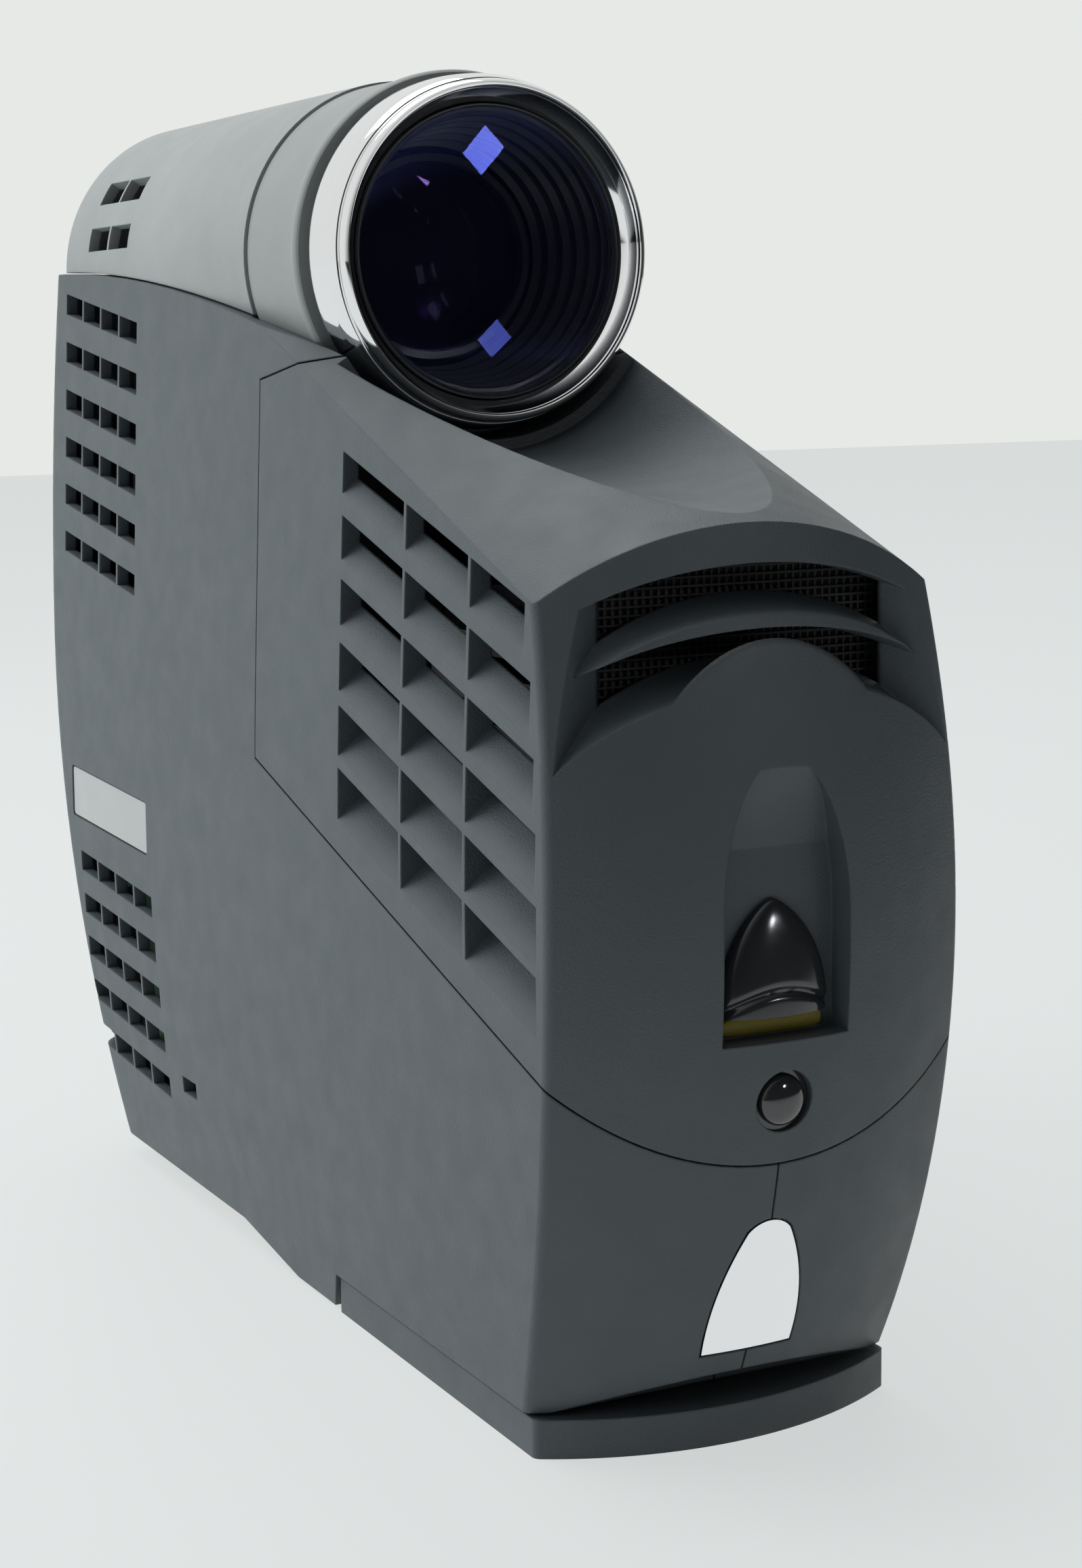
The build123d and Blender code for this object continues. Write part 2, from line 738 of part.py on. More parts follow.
with BuildPart() as label_plate:
    with BuildSketch(Plane.YZ.offset(-side_at(plate_centre_z) + plate_recess)):
        with Locations(Location((behind(plate_start + plate_length / 2), plate_centre_z), plate_tilt)):
            RectangleRounded(plate_length, plate_height, plate_corner)
    extrude(amount=-plate_recess + plate_sunk)
finish(label_plate, "label_plate")

with BuildPart() as lock_bracket:
    bracket_x = -board_x - bracket_clearance
    with BuildSketch(Plane.YZ.offset(bracket_x)):
        with Locations((behind(lock_at), lock_z)):
            Rectangle(lock_length + 2 * lock_rim, lock_height + 2 * lock_rim)
            Rectangle(lock_length + 2 * latch_gap, lock_height + 2 * latch_gap, mode=Mode.SUBTRACT)
    extrude(amount=-max_half_width)
    add(case_form(wall), mode=Mode.INTERSECT)
finish(lock_bracket, "lock_bracket")

with BuildPart() as case_screws:
    for place, z in screw_places:
        with BuildSketch(Plane.YZ.offset(screw_seat_x(z))):
            with Locations((behind(place), z)):
                Circle(screw_head_radius)
        extrude(amount=screw_head_height)
        with BuildSketch(Plane.YZ.offset(screw_seat_x(z))):
            with Locations((behind(place), z)):
                Circle(screw_radius)
        extrude(amount=-screw_length)
finish(case_screws, "case_screws")

# ---------------------------------------------------------------- tilt foot, its pin and button
foot_thickness = 5.8
foot_plan_radius = 57.0
foot_start = 12.7
foot_corner = 1.5

with BuildPart() as tilt_foot:
    with BuildSketch(Plane.XY):
        edge_y = behind(foot_start + foot_plan_radius) - sqrt(foot_plan_radius**2 - floor_half_width**2)
        with BuildLine():
            ThreePointArc((-floor_half_width, edge_y), (0, behind(foot_start)), (floor_half_width, edge_y))
            Polyline(
                (floor_half_width, edge_y),
                (floor_half_width, behind(cheek_start - seam_gap)),
                (foot_tongue_half, behind(cheek_start - seam_gap)),
                (foot_tongue_half, behind(foot_pin_at)),
                (-foot_tongue_half, behind(foot_pin_at)),
                (-foot_tongue_half, behind(cheek_start - seam_gap)),
                (-floor_half_width, behind(cheek_start - seam_gap)),
                (-floor_half_width, edge_y),
            )
        make_face()
    extrude(amount=foot_thickness)
    fillet(edges().filter_by(Axis.Z).group_by(Axis.Y)[0], radius=foot_corner)
    with BuildSketch(Plane.YZ.offset(-foot_tongue_half)):
        with Locations((behind(foot_pin_at), foot_pin_z)):
            Circle(foot_pin_z)
    extrude(amount=2 * foot_tongue_half)
    with BuildSketch(Plane.YZ.offset(-foot_tongue_half)):
        with Locations((behind(foot_pin_at), foot_pin_z)):
            Circle(foot_pin_radius + running_fit)
    extrude(amount=2 * foot_tongue_half, mode=Mode.SUBTRACT)
finish(tilt_foot, "tilt_foot")

with BuildPart() as foot_pin:
    with BuildSketch(Plane.YZ.offset(-foot_tongue_half - foot_pin_grip + seam_gap)):
        with Locations((behind(foot_pin_at), foot_pin_z)):
            Circle(foot_pin_radius)
    extrude(amount=2 * (foot_tongue_half + foot_pin_grip - seam_gap))
finish(foot_pin, "foot_pin")

rear_foot_radius = 5.5
rear_foot_at = depth - 40.0
rear_foot_x = 17.0
rear_foot_round = 0.6
with BuildPart() as rear_feet:
    with BuildSketch(Plane.XY):
        with Locations((-rear_foot_x, behind(rear_foot_at)), (rear_foot_x, behind(rear_foot_at))):
            Circle(rear_foot_radius)
    extrude(amount=tail_floor_z)
    fillet(edges().group_by(Axis.Z)[0], radius=rear_foot_round)
finish(rear_feet, "rear_feet")

button_depth = 7.0
button_travel = 2.0
button_flange = 1.6
with BuildPart() as release_button:
    with BuildSketch(Plane.XZ.offset(-behind(-5))):
        with BuildLine():
            button_outline(0)
        make_face()
    extrude(amount=-button_depth - 15)
    add(case_outer, mode=Mode.INTERSECT)
    with BuildSketch(Plane.XZ.offset(-behind(-5))):
        with BuildLine():
            button_outline(button_flange)
        make_face()
    flange = extrude(amount=-30, mode=Mode.PRIVATE)
    flange_skin = case_form(wall + button_clearance) - case_form(wall + button_clearance + button_flange)
    add(flange & flange_skin)
finish(release_button, "release_button")

# ---------------------------------------------------------------- cover latch, strip and window
latch_width = 17.0
latch_height = 16.0
latch_thickness = 3.6
latch_low_z = thumb_bottom_z + 3.2
latch_shoulder = 0.55
latch_taper = 0.9
latch_round = 1.2
keeper_width = 9.0
keeper_thickness = 1.5
keeper_height = latch_stem_height + 2.0
strip_width = 15.7
strip_height = 2.6
strip_thickness = 0.6
with BuildPart() as cover_latch:
    with BuildSketch(Plane.XZ.offset(-behind(thumb_floor - latch_gap))):
        half = latch_width / 2
        with BuildLine():
            Line((-half, latch_low_z), (half, latch_low_z))
            ThreePointArc(
                (half, latch_low_z),
                (half - latch_taper, latch_low_z + latch_height * latch_shoulder),
                (0, latch_low_z + latch_height),
            )
            ThreePointArc(
                (0, latch_low_z + latch_height),
                (-half + latch_taper, latch_low_z + latch_height * latch_shoulder),
                (-half, latch_low_z),
            )
        make_face()
    extrude(amount=latch_thickness)
    fillet(faces().sort_by(Axis.Y)[0].edges(), radius=latch_round)
    with BuildSketch(Plane.XZ.offset(-behind(thumb_floor - latch_gap))):
        with Locations((0, latch_stem_z + latch_stem_height / 2)):
            Rectangle(2 * latch_stem_half, latch_stem_height)
    extrude(amount=-(thumb_pad - thumb_floor + 2 * latch_gap))
    with BuildSketch(Plane.XZ.offset(-behind(thumb_pad + latch_gap))):
        with Locations((0, latch_stem_z + latch_stem_height / 2)):
            Rectangle(keeper_width, keeper_height)
    extrude(amount=-keeper_thickness)
finish(cover_latch, "cover_latch")

with BuildPart() as latch_strip:
    with BuildSketch(Plane.XZ.offset(-behind(thumb_floor))):
        with Locations((0, thumb_bottom_z + latch_gap + strip_height / 2)):
            RectangleRounded(strip_width, strip_height, 0.5)
    extrude(amount=strip_thickness)
finish(latch_strip, "latch_strip")

dome_rise = 1.7
dome_edge = 0.8
with BuildPart() as ir_window:
    with BuildSketch(Plane.YZ):
        base_y = face_at(dome_z) + wall
        rim_y = base_y - dome_edge
        edge_radius = dome_hole_radius - 2 * running_fit
        with BuildLine():
            Line((base_y, dome_z), (base_y, dome_z + edge_radius))
            Line((base_y, dome_z + edge_radius), (rim_y, dome_z + edge_radius))
            Line((rim_y, dome_z + edge_radius), (rim_y, dome_z + dome_radius))
            half = dome_radius / 2
            ThreePointArc(
                (rim_y, dome_z + dome_radius),
                (rim_y - cap_height(dome_radius, dome_rise, half), dome_z + half),
                (rim_y - dome_rise, dome_z),
            )
            Line((rim_y - dome_rise, dome_z), (base_y, dome_z))
        make_face()
    revolve(axis=Axis((0, 0, dome_z), (0, 1, 0)))
finish(ir_window, "ir_window")

# ---------------------------------------------------------------- lens housing and rings
housing_gap = 0.3
key_radius = 4.0
key_places = (146.0, 157.0, 168.0, 179.0)
key_travel = 0.8
key_flange = 1.0
key_flange_height = 0.8
key_rest = 0.5
key_reach = 12.0
switch_radius = 2.2
switch_height = 0.4
key_gap = 0.25
key_recess = 0.3
key_board_z = lens_z + housing_radius - housing_wall - 4.6
key_board_half = 8.0
key_board_margin = 10.0
key_post_places = (138.5, 186.5)
key_post_radius = 1.8
housing_vent_rows = ((54.5, 64.0), (73.5, 82.3))
housing_vent_start = depth - 47.5
housing_vent_length = 11.0


def above_ledge(gap):
    """Everything above the case's top edge, raised by gap."""
    with BuildPart() as upper:
        with BuildSketch(Plane.YZ):
            with BuildLine():
                ThreePointArc(
                    (behind(ledge_end), lens_z + gap),
                    (behind(ledge_mid), ledge_mid_z + gap),
                    (behind(cover_top), cover_top_z + gap),
                )
                Polyline(
                    (behind(cover_top), cover_top_z + gap),
                    (behind(cover_top), top_z + 5),
                    (behind(housing_end + 20), top_z + 5),
                    (behind(housing_end + 20), lens_z + gap),
                    (behind(ledge_end), lens_z + gap),
                )
            make_face()
        extrude(amount=housing_radius + 5, both=True)
    return upper.part


with BuildPart() as lens_housing:
    add(housing_skin(housing_radius, housing_end))
    add(above_ledge(housing_gap), mode=Mode.INTERSECT)
    add(housing_skin(housing_radius - housing_wall, housing_end - housing_wall), mode=Mode.SUBTRACT)
    for low_angle, high_angle in housing_vent_rows:
        for column in range(2):
            start = housing_vent_start + column * (housing_vent_length + vent_rib)
            with BuildSketch(Plane.XZ.offset(-behind(start))):
                with BuildLine():
                    inner_r = housing_radius - 4
                    outer_r = housing_radius + 2
                    low = Vector(-sin(radians(low_angle)), cos(radians(low_angle)))
                    high = Vector(-sin(radians(high_angle)), cos(radians(high_angle)))
                    centre = Vector(0, lens_z)
                    Polyline(
                        centre + low * inner_r,
                        centre + low * outer_r,
                        centre + high * outer_r,
                        centre + high * inner_r,
                        close=True,
                    )
                make_face()
                mirror(about=Plane.YZ)
            extrude(amount=-housing_vent_length, mode=Mode.SUBTRACT)
    with BuildSketch(Plane.XY.offset(lens_z)):
        with Locations(*[(0, behind(place)) for place in key_places]):
            Circle(key_radius + key_gap)
    extrude(amount=housing_radius + 5, mode=Mode.SUBTRACT)
    with BuildPart(mode=Mode.PRIVATE) as posts:
        with BuildSketch(Plane.XY.offset(key_board_z + board_thickness)):
            with Locations(*[(0, behind(place)) for place in key_post_places]):
                Circle(key_post_radius)
        extrude(amount=10)
        add(housing_skin(housing_radius - 1, housing_end - 1), mode=Mode.INTERSECT)
    add(posts.part)
finish(lens_housing, "lens_housing")


def turned(points):
    """A solid turned about the lens axis from (distance behind the face, radius) points."""
    with BuildPart() as piece:
        with BuildSketch(Plane.YZ):
            Polygon(*[(behind(d), lens_z + r) for d, r in points], align=None)
        revolve(axis=Axis((0, 0, lens_z), (0, 1, 0)))
    return piece.part


lip_height = 0.5
lip_width = 1.6
lip_ramp = 1.0
sleeve_radius = ring_radius - ring_wall
with BuildPart() as zoom_ring:
    bore = sleeve_radius + running_fit
    add(
        turned(
            [
                (ring_start, bore),
                (ring_start, ring_radius + lip_height),
                (ring_start + lip_width, ring_radius + lip_height),
                (ring_start + lip_width + lip_ramp, ring_radius),
                (ring_end, ring_radius),
                (ring_end, bore),
            ]
        )
    )
finish(zoom_ring, "zoom_ring")

bezel_gap = 0.6
nose_radius = bezel_inner_radius - running_fit
bead_depth = 3.4
bead_radius = 0.9
belly_at = 5.5
belly_drop = 0.7
with BuildPart() as focus_bezel:
    with BuildSketch(Plane.YZ):
        with BuildLine():
            front = behind(bezel_front)
            rear = behind(bezel_rear)
            Line((rear, lens_z + bezel_inner_radius), (rear, lens_z + bezel_rear_radius))
            ThreePointArc(
                (rear, lens_z + bezel_rear_radius),
                (behind(bezel_front + belly_at), lens_z + bezel_rear_radius - belly_drop),
                (behind(bezel_front + bead_radius), lens_z + bezel_front_radius),
            )
            ThreePointArc(
                (behind(bezel_front + bead_radius), lens_z + bezel_front_radius),
                (front, lens_z + bezel_front_radius - bead_radius),
                (behind(bezel_front + bead_radius), lens_z + bezel_front_radius - 2 * bead_radius),
            )
            Line(
                (behind(bezel_front + bead_radius), lens_z + bezel_front_radius - 2 * bead_radius),
                (behind(bezel_front + bead_depth), lens_z + bezel_inner_radius),
            )
            Line(
                (behind(bezel_front + bead_depth), lens_z + bezel_inner_radius),
                (rear, lens_z + bezel_inner_radius),
            )
        make_face()
    revolve(axis=Axis((0, 0, lens_z), (0, 1, 0)))
finish(focus_bezel, "focus_bezel")

with BuildPart() as lens_barrel:
    add(
        turned(
            [
                (barrel_nose_start, nose_bore_radius),
                (barrel_nose_start, nose_radius),
                (bezel_rear + bezel_gap, nose_radius),
                (bezel_rear + bezel_gap, sleeve_radius),
                (ring_end + latch_gap, sleeve_radius),
                (ring_end + latch_gap, barrel_rear_radius),
                (barrel_end, barrel_rear_radius),
                (barrel_end, barrel_bore_radius),
                (nose_bore_end, barrel_bore_radius),
                (nose_bore_end, nose_bore_radius),
            ]
        )
    )
finish(lens_barrel, "lens_barrel")

cell_fit = 0.08
cell_radius = barrel_bore_radius - cell_fit
front_cell_radius = nose_bore_radius - cell_fit
baffle_front = 88.6
baffle_lip = 91.6
baffle_steps = 8
baffle_end = 112.0
baffle_lip_radius = 23.0
baffle_step_radius = 0.9
glass_radius = 21.0
glass_edge = 3.0
glass_start = 89.6
glass_ledge = 0.6
glass_front_bulge = 2.0
glass_rear_bulge = 1.5
baffle_ramp = 0.2
with BuildPart() as baffle_ring:
    seat_end = glass_start + glass_edge
    step = (baffle_end - seat_end) / baffle_steps
    profile = [(baffle_front, baffle_lip_radius), (baffle_front, glass_radius), (seat_end, glass_radius)]
    for ring in range(baffle_steps):
        inner = glass_radius - glass_ledge - ring * baffle_step_radius
        profile += [(seat_end + ring * step, inner), (seat_end + (ring + 1) * step, inner)]
    profile += [
        (baffle_end, front_cell_radius),
        (baffle_lip + baffle_ramp, front_cell_radius),
        (baffle_lip, baffle_lip_radius),
    ]
    add(turned(profile))
finish(baffle_ring, "baffle_ring")


def lens_disc(centre_d, radius, edge, front_bulge, rear_bulge):
    """A glass element: edge thickness, and how far each face bulges."""
    with BuildPart() as disc:
        with BuildSketch(Plane.YZ):
            front = behind(centre_d - edge / 2)
            rear = behind(centre_d + edge / 2)
            with BuildLine():
                Line((front - front_bulge, lens_z), (rear + rear_bulge, lens_z))
                rear_radius_of_curve = (radius**2 + rear_bulge**2) / (2 * rear_bulge)
                RadiusArc((rear + rear_bulge, lens_z), (rear, lens_z + radius), -rear_radius_of_curve)
                Line((rear, lens_z + radius), (front, lens_z + radius))
                front_radius_of_curve = (radius**2 + front_bulge**2) / (2 * front_bulge)
                RadiusArc((front, lens_z + radius), (front - front_bulge, lens_z), -front_radius_of_curve)
            make_face()
        revolve(axis=Axis((0, 0, lens_z), (0, 1, 0)))
    return disc.part


with BuildPart() as front_lens:
    glass_middle = glass_start + glass_edge / 2
    add(lens_disc(glass_middle, glass_radius, glass_edge, glass_front_bulge, glass_rear_bulge))
finish(front_lens, "front_lens")

zoom_cell_start = 121.0
zoom_cell_end = 137.0
zoom_glass_radius = 14.0
zoom_glass_edge = 2.4
zoom_glass_inset = 4.0
zoom_front_bulge = 1.6
zoom_rear_bulge = 1.0
with BuildPart() as zoom_cell:
    add(
        turned(
            [
                (zoom_cell_start, zoom_glass_radius),
                (zoom_cell_start, cell_radius),
                (zoom_cell_end, cell_radius),
                (zoom_cell_end, zoom_glass_radius),
            ]
        )
    )
finish(zoom_cell, "zoom_cell")

with BuildPart() as zoom_lenses:
    for centre_d in (zoom_cell_start + zoom_glass_inset, zoom_cell_end - zoom_glass_inset):
        add(lens_disc(centre_d, zoom_glass_radius, zoom_glass_edge, zoom_front_bulge, zoom_rear_bulge))
finish(zoom_lenses, "zoom_lenses")

# ---------------------------------------------------------------- keys on top of the housing
key_names = ("power_key", "menu_key", "source_key", "select_key")
for key_name, place in zip(key_names, key_places):
    with BuildPart() as key:
        with BuildSketch(Plane.XY.offset(key_board_z + board_thickness + key_travel + key_rest)):
            with Locations((0, behind(place))):
                Circle(key_radius)
        extrude(amount=key_reach)
        add(housing_skin(housing_radius - key_recess, housing_end - key_recess), mode=Mode.INTERSECT)
        with BuildSketch(Plane.XY.offset(key_board_z + board_thickness + key_travel + key_rest)):
            with Locations((0, behind(place))):
                Circle(key_radius + key_flange)
        extrude(amount=key_flange_height)
    finish(key, key_name)

with BuildPart() as key_board:
    with BuildSketch(Plane.XY.offset(key_board_z)):
        with Locations((0, (behind(key_places[0]) + behind(key_places[-1])) / 2)):
            Rectangle(2 * key_board_half, key_places[-1] - key_places[0] + 2 * key_board_margin)
    extrude(amount=board_thickness)
    with BuildSketch(Plane.XY.offset(key_board_z + board_thickness)):
        with Locations(*[(0, behind(place)) for place in key_places]):
            Circle(switch_radius)
    extrude(amount=switch_height)
finish(key_board, "key_board")

# ---------------------------------------------------------------- light engine
beam_z = 92.0
chassis_plate = 3.0
tower_half = 14.0
tower_start = 144.0
tower_end = 172.0
tower_wall = 2.0
relay_window = 9.5
flange_z = 157.0
flange_half = 20.0
flange_start = 139.0
condenser_z = 135.0
condenser_radius = 11.6
condenser_edge = 2.0
condenser_rise = 3.0
light_hole = 9.0
mount_thickness = 3.0
mount_radius = 26.0
mount_drop = 15.6
air_hole_half = 16.0
air_hole_start = 28.0
air_hole_end = 60.0
tunnel_half = 4.0
tunnel_wall = 0.8
tunnel_start = 80.0
tunnel_end = 122.0
tunnel_block_start = 112.0
tunnel_block_end = 118.0
tunnel_block_half = 8.0
tower_middle = (tower_start + tower_end) / 2
mirror_foot = 148.0
mirror_drop = 13.2
mirror_thickness = 2.0
mirror_middle = 10.5
mirror_margin = 0.5

with BuildPart() as optical_chassis:
    with BuildSketch(Plane.XY.offset(chassis_z)):
        with Locations((0, behind((chassis_start + chassis_end) / 2))):
            Rectangle(2 * chassis_half_width, chassis_end - chassis_start)
        with Locations((0, behind((air_hole_start + air_hole_end) / 2))):
            Rectangle(2 * air_hole_half, air_hole_end - air_hole_start, mode=Mode.SUBTRACT)
    extrude(amount=chassis_plate)
    with BuildSketch(Plane.XY.offset(chassis_z)):
        with Locations((0, behind(tower_middle))):
            Rectangle(2 * tower_half, tower_end - tower_start)
            inner_side = 2 * (tower_half - tower_wall)
            Rectangle(inner_side, tower_end - tower_start - 2 * tower_wall, mode=Mode.SUBTRACT)
    extrude(amount=flange_z - chassis_z)
    with BuildSketch(Plane.XY.offset(condenser_z - tower_wall)):
        with Locations((0, behind(tower_middle))):
            Rectangle(2 * tower_half, tower_end - tower_start)
            Circle(light_hole, mode=Mode.SUBTRACT)
    extrude(amount=tower_wall)
    with BuildSketch(Plane.XY.offset(flange_z)):
        with Locations((0, behind((flange_start + chassis_end) / 2))):
            Rectangle(2 * flange_half, chassis_end - flange_start)
        with Locations((0, behind(tower_middle))):
            Circle(light_hole, mode=Mode.SUBTRACT)
    extrude(amount=chassis_plate)
    with BuildSketch(Plane.XZ.offset(-behind(flange_start))):
        with Locations((0, lens_z)):
            Circle(mount_radius)
        with Locations((0, lens_z + mount_radius)):
            Rectangle(3 * mount_radius, 2 * mount_drop, mode=Mode.SUBTRACT)
        with Locations((0, lens_z)):
            Circle(barrel_rear_radius + running_fit, mode=Mode.SUBTRACT)
    extrude(amount=-mount_thickness)
    with BuildSketch(Plane.XZ.offset(-behind(flange_start))):
        with Locations((0, lens_z)):
            Circle(barrel_rear_radius + running_fit)
    extrude(amount=-mount_thickness - 4, mode=Mode.SUBTRACT)
    with BuildSketch(Plane.XZ.offset(-behind(tower_start - 1))):
        with Locations((0, beam_z)):
            Circle(relay_window)
    extrude(amount=-tower_wall - 2, mode=Mode.SUBTRACT)
    with BuildSketch(Plane.XZ.offset(-behind(tunnel_block_start))):
        with Locations((0, (chassis_z + beam_z + tunnel_block_half) / 2)):
            Rectangle(2 * tunnel_block_half, beam_z + tunnel_block_half - chassis_z)
        with Locations((0, beam_z)):
            Rectangle(2 * tunnel_half, 2 * tunnel_half, mode=Mode.SUBTRACT)
    extrude(amount=tunnel_block_start - tunnel_block_end)
    with BuildSketch(Plane.YZ):
        Polygon(
            (behind(mirror_foot), chassis_z),
            (behind(tower_end - 1), chassis_z),
            (behind(tower_end - 1), tower_end - 1 - mirror_foot + chassis_z + mirror_drop),
            (behind(mirror_foot), chassis_z + mirror_drop),
            align=None,
        )
    extrude(amount=tower_half - tower_wall, both=True)
finish(optical_chassis, "optical_chassis")

mirror_seat_z = chassis_z + mirror_drop
mirror_length = 28.0
with BuildPart() as fold_mirror:
    mirror_plane = Plane(
        origin=(0, behind(mirror_foot + mirror_middle), mirror_seat_z + mirror_middle),
        x_dir=(1, 0, 0),
        z_dir=(0, -1, 1),
    )
    with BuildSketch(mirror_plane):
        Rectangle(2 * (tower_half - tower_wall - mirror_margin), mirror_length)
    extrude(amount=mirror_thickness)
finish(fold_mirror, "fold_mirror")


def about_beam(points):
    """A solid turned about the beam's axis from (distance behind the face, radius) points."""
    with BuildPart() as piece:
        with BuildSketch(Plane.YZ):
            Polygon(*[(behind(d), beam_z + r) for d, r in points], align=None)
        revolve(axis=Axis((0, 0, beam_z), (0, 1, 0)))
    return piece.part


relay_edge = 3.0
relay_radius = 11.5
relay_rise = 1.6
relay_shoulder_rise = 1.2
relay_shoulder = 5.0
with BuildPart() as relay_lens:
    add(
        about_beam(
            [
                (tower_start - relay_edge - relay_rise, 0),
                (tower_start - relay_edge - relay_shoulder_rise, relay_shoulder),
                (tower_start - relay_edge, relay_radius),
                (tower_start, relay_radius),
                (tower_start, 0),
            ]
        )
    )
finish(relay_lens, "relay_lens")

with BuildPart() as condenser_lens:
    with BuildSketch(Plane.YZ):
        with BuildLine():
            axis_y = behind(tower_middle)
            Line((axis_y, condenser_z), (axis_y + condenser_radius, condenser_z))
            Line(
                (axis_y + condenser_radius, condenser_z),
                (axis_y + condenser_radius, condenser_z + condenser_edge),
            )
            half = condenser_radius / 2
            rim_z = condenser_z + condenser_edge
            ThreePointArc(
                (axis_y + condenser_radius, rim_z),
                (axis_y + half, rim_z + cap_height(condenser_radius, condenser_rise, half)),
                (axis_y, rim_z + condenser_rise),
            )
            Line((axis_y, rim_z + condenser_rise), (axis_y, condenser_z))
        make_face()
    revolve(axis=Axis((0, behind(tower_middle), 0), (0, 0, 1)))
finish(condenser_lens, "condenser_lens")

with BuildPart() as light_tunnel:
    with BuildSketch(Plane.XZ.offset(-behind(tunnel_start))):
        with Locations((0, beam_z)):
            Rectangle(2 * tunnel_half, 2 * tunnel_half)
            Rectangle(2 * (tunnel_half - tunnel_wall), 2 * (tunnel_half - tunnel_wall), mode=Mode.SUBTRACT)
    extrude(amount=tunnel_start - tunnel_end)
finish(light_tunnel, "light_tunnel")

# ---------------------------------------------------------------- prism, mirror chip and its board
prism_half = 10.0
prism_start = 147.0
prism_end = 165.0
prism_height = 21.0
prism_chamfer = 3.0
with BuildPart() as prism:
    with BuildSketch(Plane.YZ.offset(-prism_half)):
        base_z = flange_z + chassis_plate
        Polygon(
            (behind(prism_start), base_z + prism_chamfer),
            (behind(prism_start + prism_chamfer), base_z),
            (behind(prism_end), base_z),
            (behind(prism_end), base_z + prism_height),
            (behind(prism_start), base_z + prism_height),
            align=None,
        )
    extrude(amount=2 * prism_half)
finish(prism, "prism")

chip_half = 11.0
chip_height = 18.0
chip_gap = 0.3
chip_thickness = 2.5
chip_board_half = 17.0
chip_board_height = 29.0
sink_half = 14.0
sink_height = 26.0
sink_base = 3.0
sink_depth = 12.0
sink_fins = 7
fin_thickness = 1.2
chip_start = prism_end + chip_gap
with BuildPart() as mirror_chip:
    with BuildSketch(Plane.XZ.offset(-behind(chip_start))):
        with Locations((0, lens_z)):
            Rectangle(2 * chip_half, chip_height)
    extrude(amount=-chip_thickness)
finish(mirror_chip, "mirror_chip")

with BuildPart() as chip_board:
    with BuildSketch(Plane.XZ.offset(-behind(chip_start + chip_thickness))):
        with Locations((0, flange_z + chassis_plate + chip_board_height / 2)):
            Rectangle(2 * chip_board_half, chip_board_height)
    extrude(amount=-board_thickness)
finish(chip_board, "chip_board")

with BuildPart() as chip_heatsink:
    sink_start = chip_start + chip_thickness + board_thickness
    with BuildSketch(Plane.XZ.offset(-behind(sink_start))):
        with Locations((0, flange_z + chassis_plate + sink_height / 2)):
            Rectangle(2 * sink_half, sink_height)
    extrude(amount=-sink_base)
    with BuildSketch(Plane.XZ.offset(-behind(sink_start + sink_base))):
        with Locations((0, flange_z + chassis_plate + sink_height / 2)):
            with GridLocations((2 * sink_half - fin_thickness) / (sink_fins - 1), 0, sink_fins, 1):
                Rectangle(fin_thickness, sink_height)
    extrude(amount=-(sink_depth - sink_base))
finish(chip_heatsink, "chip_heatsink")

# ---------------------------------------------------------------- lamp
lamp_half = 23.0
lamp_start = 23.0
lamp_end = 65.0
lamp_top_z = 115.0
lamp_wall = 2.0
lamp_mouth = 19.0
lamp_slots = 4
lamp_slot_length = 24.0
lamp_slot_height = 3.0
lamp_slot_pitch = 7.0
lamp_slot_rise = 8.0
with BuildPart() as lamp_housing:
    lamp_base_z = chassis_z + chassis_plate
    with BuildSketch(Plane.XY.offset(lamp_base_z)):
        with Locations((0, behind((lamp_start + lamp_end) / 2))):
            Rectangle(2 * lamp_half, lamp_end - lamp_start)
    extrude(amount=lamp_top_z - lamp_base_z)
    with BuildSketch(Plane.XY.offset(lamp_base_z)):
        with Locations((0, behind((lamp_start + lamp_end) / 2))):
            Rectangle(2 * (lamp_half - lamp_wall), lamp_end - lamp_start - 2 * lamp_wall)
    extrude(amount=lamp_top_z - lamp_base_z - lamp_wall, mode=Mode.SUBTRACT)
    with BuildSketch(Plane.XZ.offset(-behind(lamp_end - lamp_wall - 1))):
        with Locations((0, beam_z)):
            Circle(lamp_mouth)
    extrude(amount=-lamp_wall - 2, mode=Mode.SUBTRACT)
    with BuildSketch(Plane.YZ.offset(-lamp_half - 1)):
        with Locations((behind((lamp_start + lamp_end) / 2), beam_z + lamp_slot_rise)):
            with GridLocations(0, lamp_slot_pitch, 1, lamp_slots):
                Rectangle(lamp_slot_length, lamp_slot_height)
    extrude(amount=2 * lamp_half + 2, mode=Mode.SUBTRACT)
finish(lamp_housing, "lamp_housing")

reflector_rim = 20.5
reflector_wall = 1.5
reflector_apex = 36.0
reflector_neck = 6.0
reflector_inner = (46.0, 15.4)
reflector_outer = (44.8, 16.9)
with BuildPart() as lamp_reflector:
    with BuildSketch(Plane.YZ):
        with BuildLine():
            rim = behind(lamp_end - lamp_wall)
            apex = behind(reflector_apex)
            rim_z = beam_z + reflector_rim
            neck_z = beam_z + reflector_neck
            ThreePointArc(
                (rim, rim_z - reflector_wall),
                (behind(reflector_inner[0]), beam_z + reflector_inner[1]),
                (apex, neck_z),
            )
            Line((apex, neck_z), (apex - reflector_wall, neck_z + 0.5))
            ThreePointArc(
                (apex - reflector_wall, neck_z + 0.5),
                (behind(reflector_outer[0]), beam_z + reflector_outer[1]),
                (rim, rim_z),
            )
            Line((rim, rim_z), (rim, rim_z - reflector_wall))
        make_face()
    revolve(axis=Axis((0, 0, beam_z), (0, 1, 0)))
finish(lamp_reflector, "lamp_reflector")

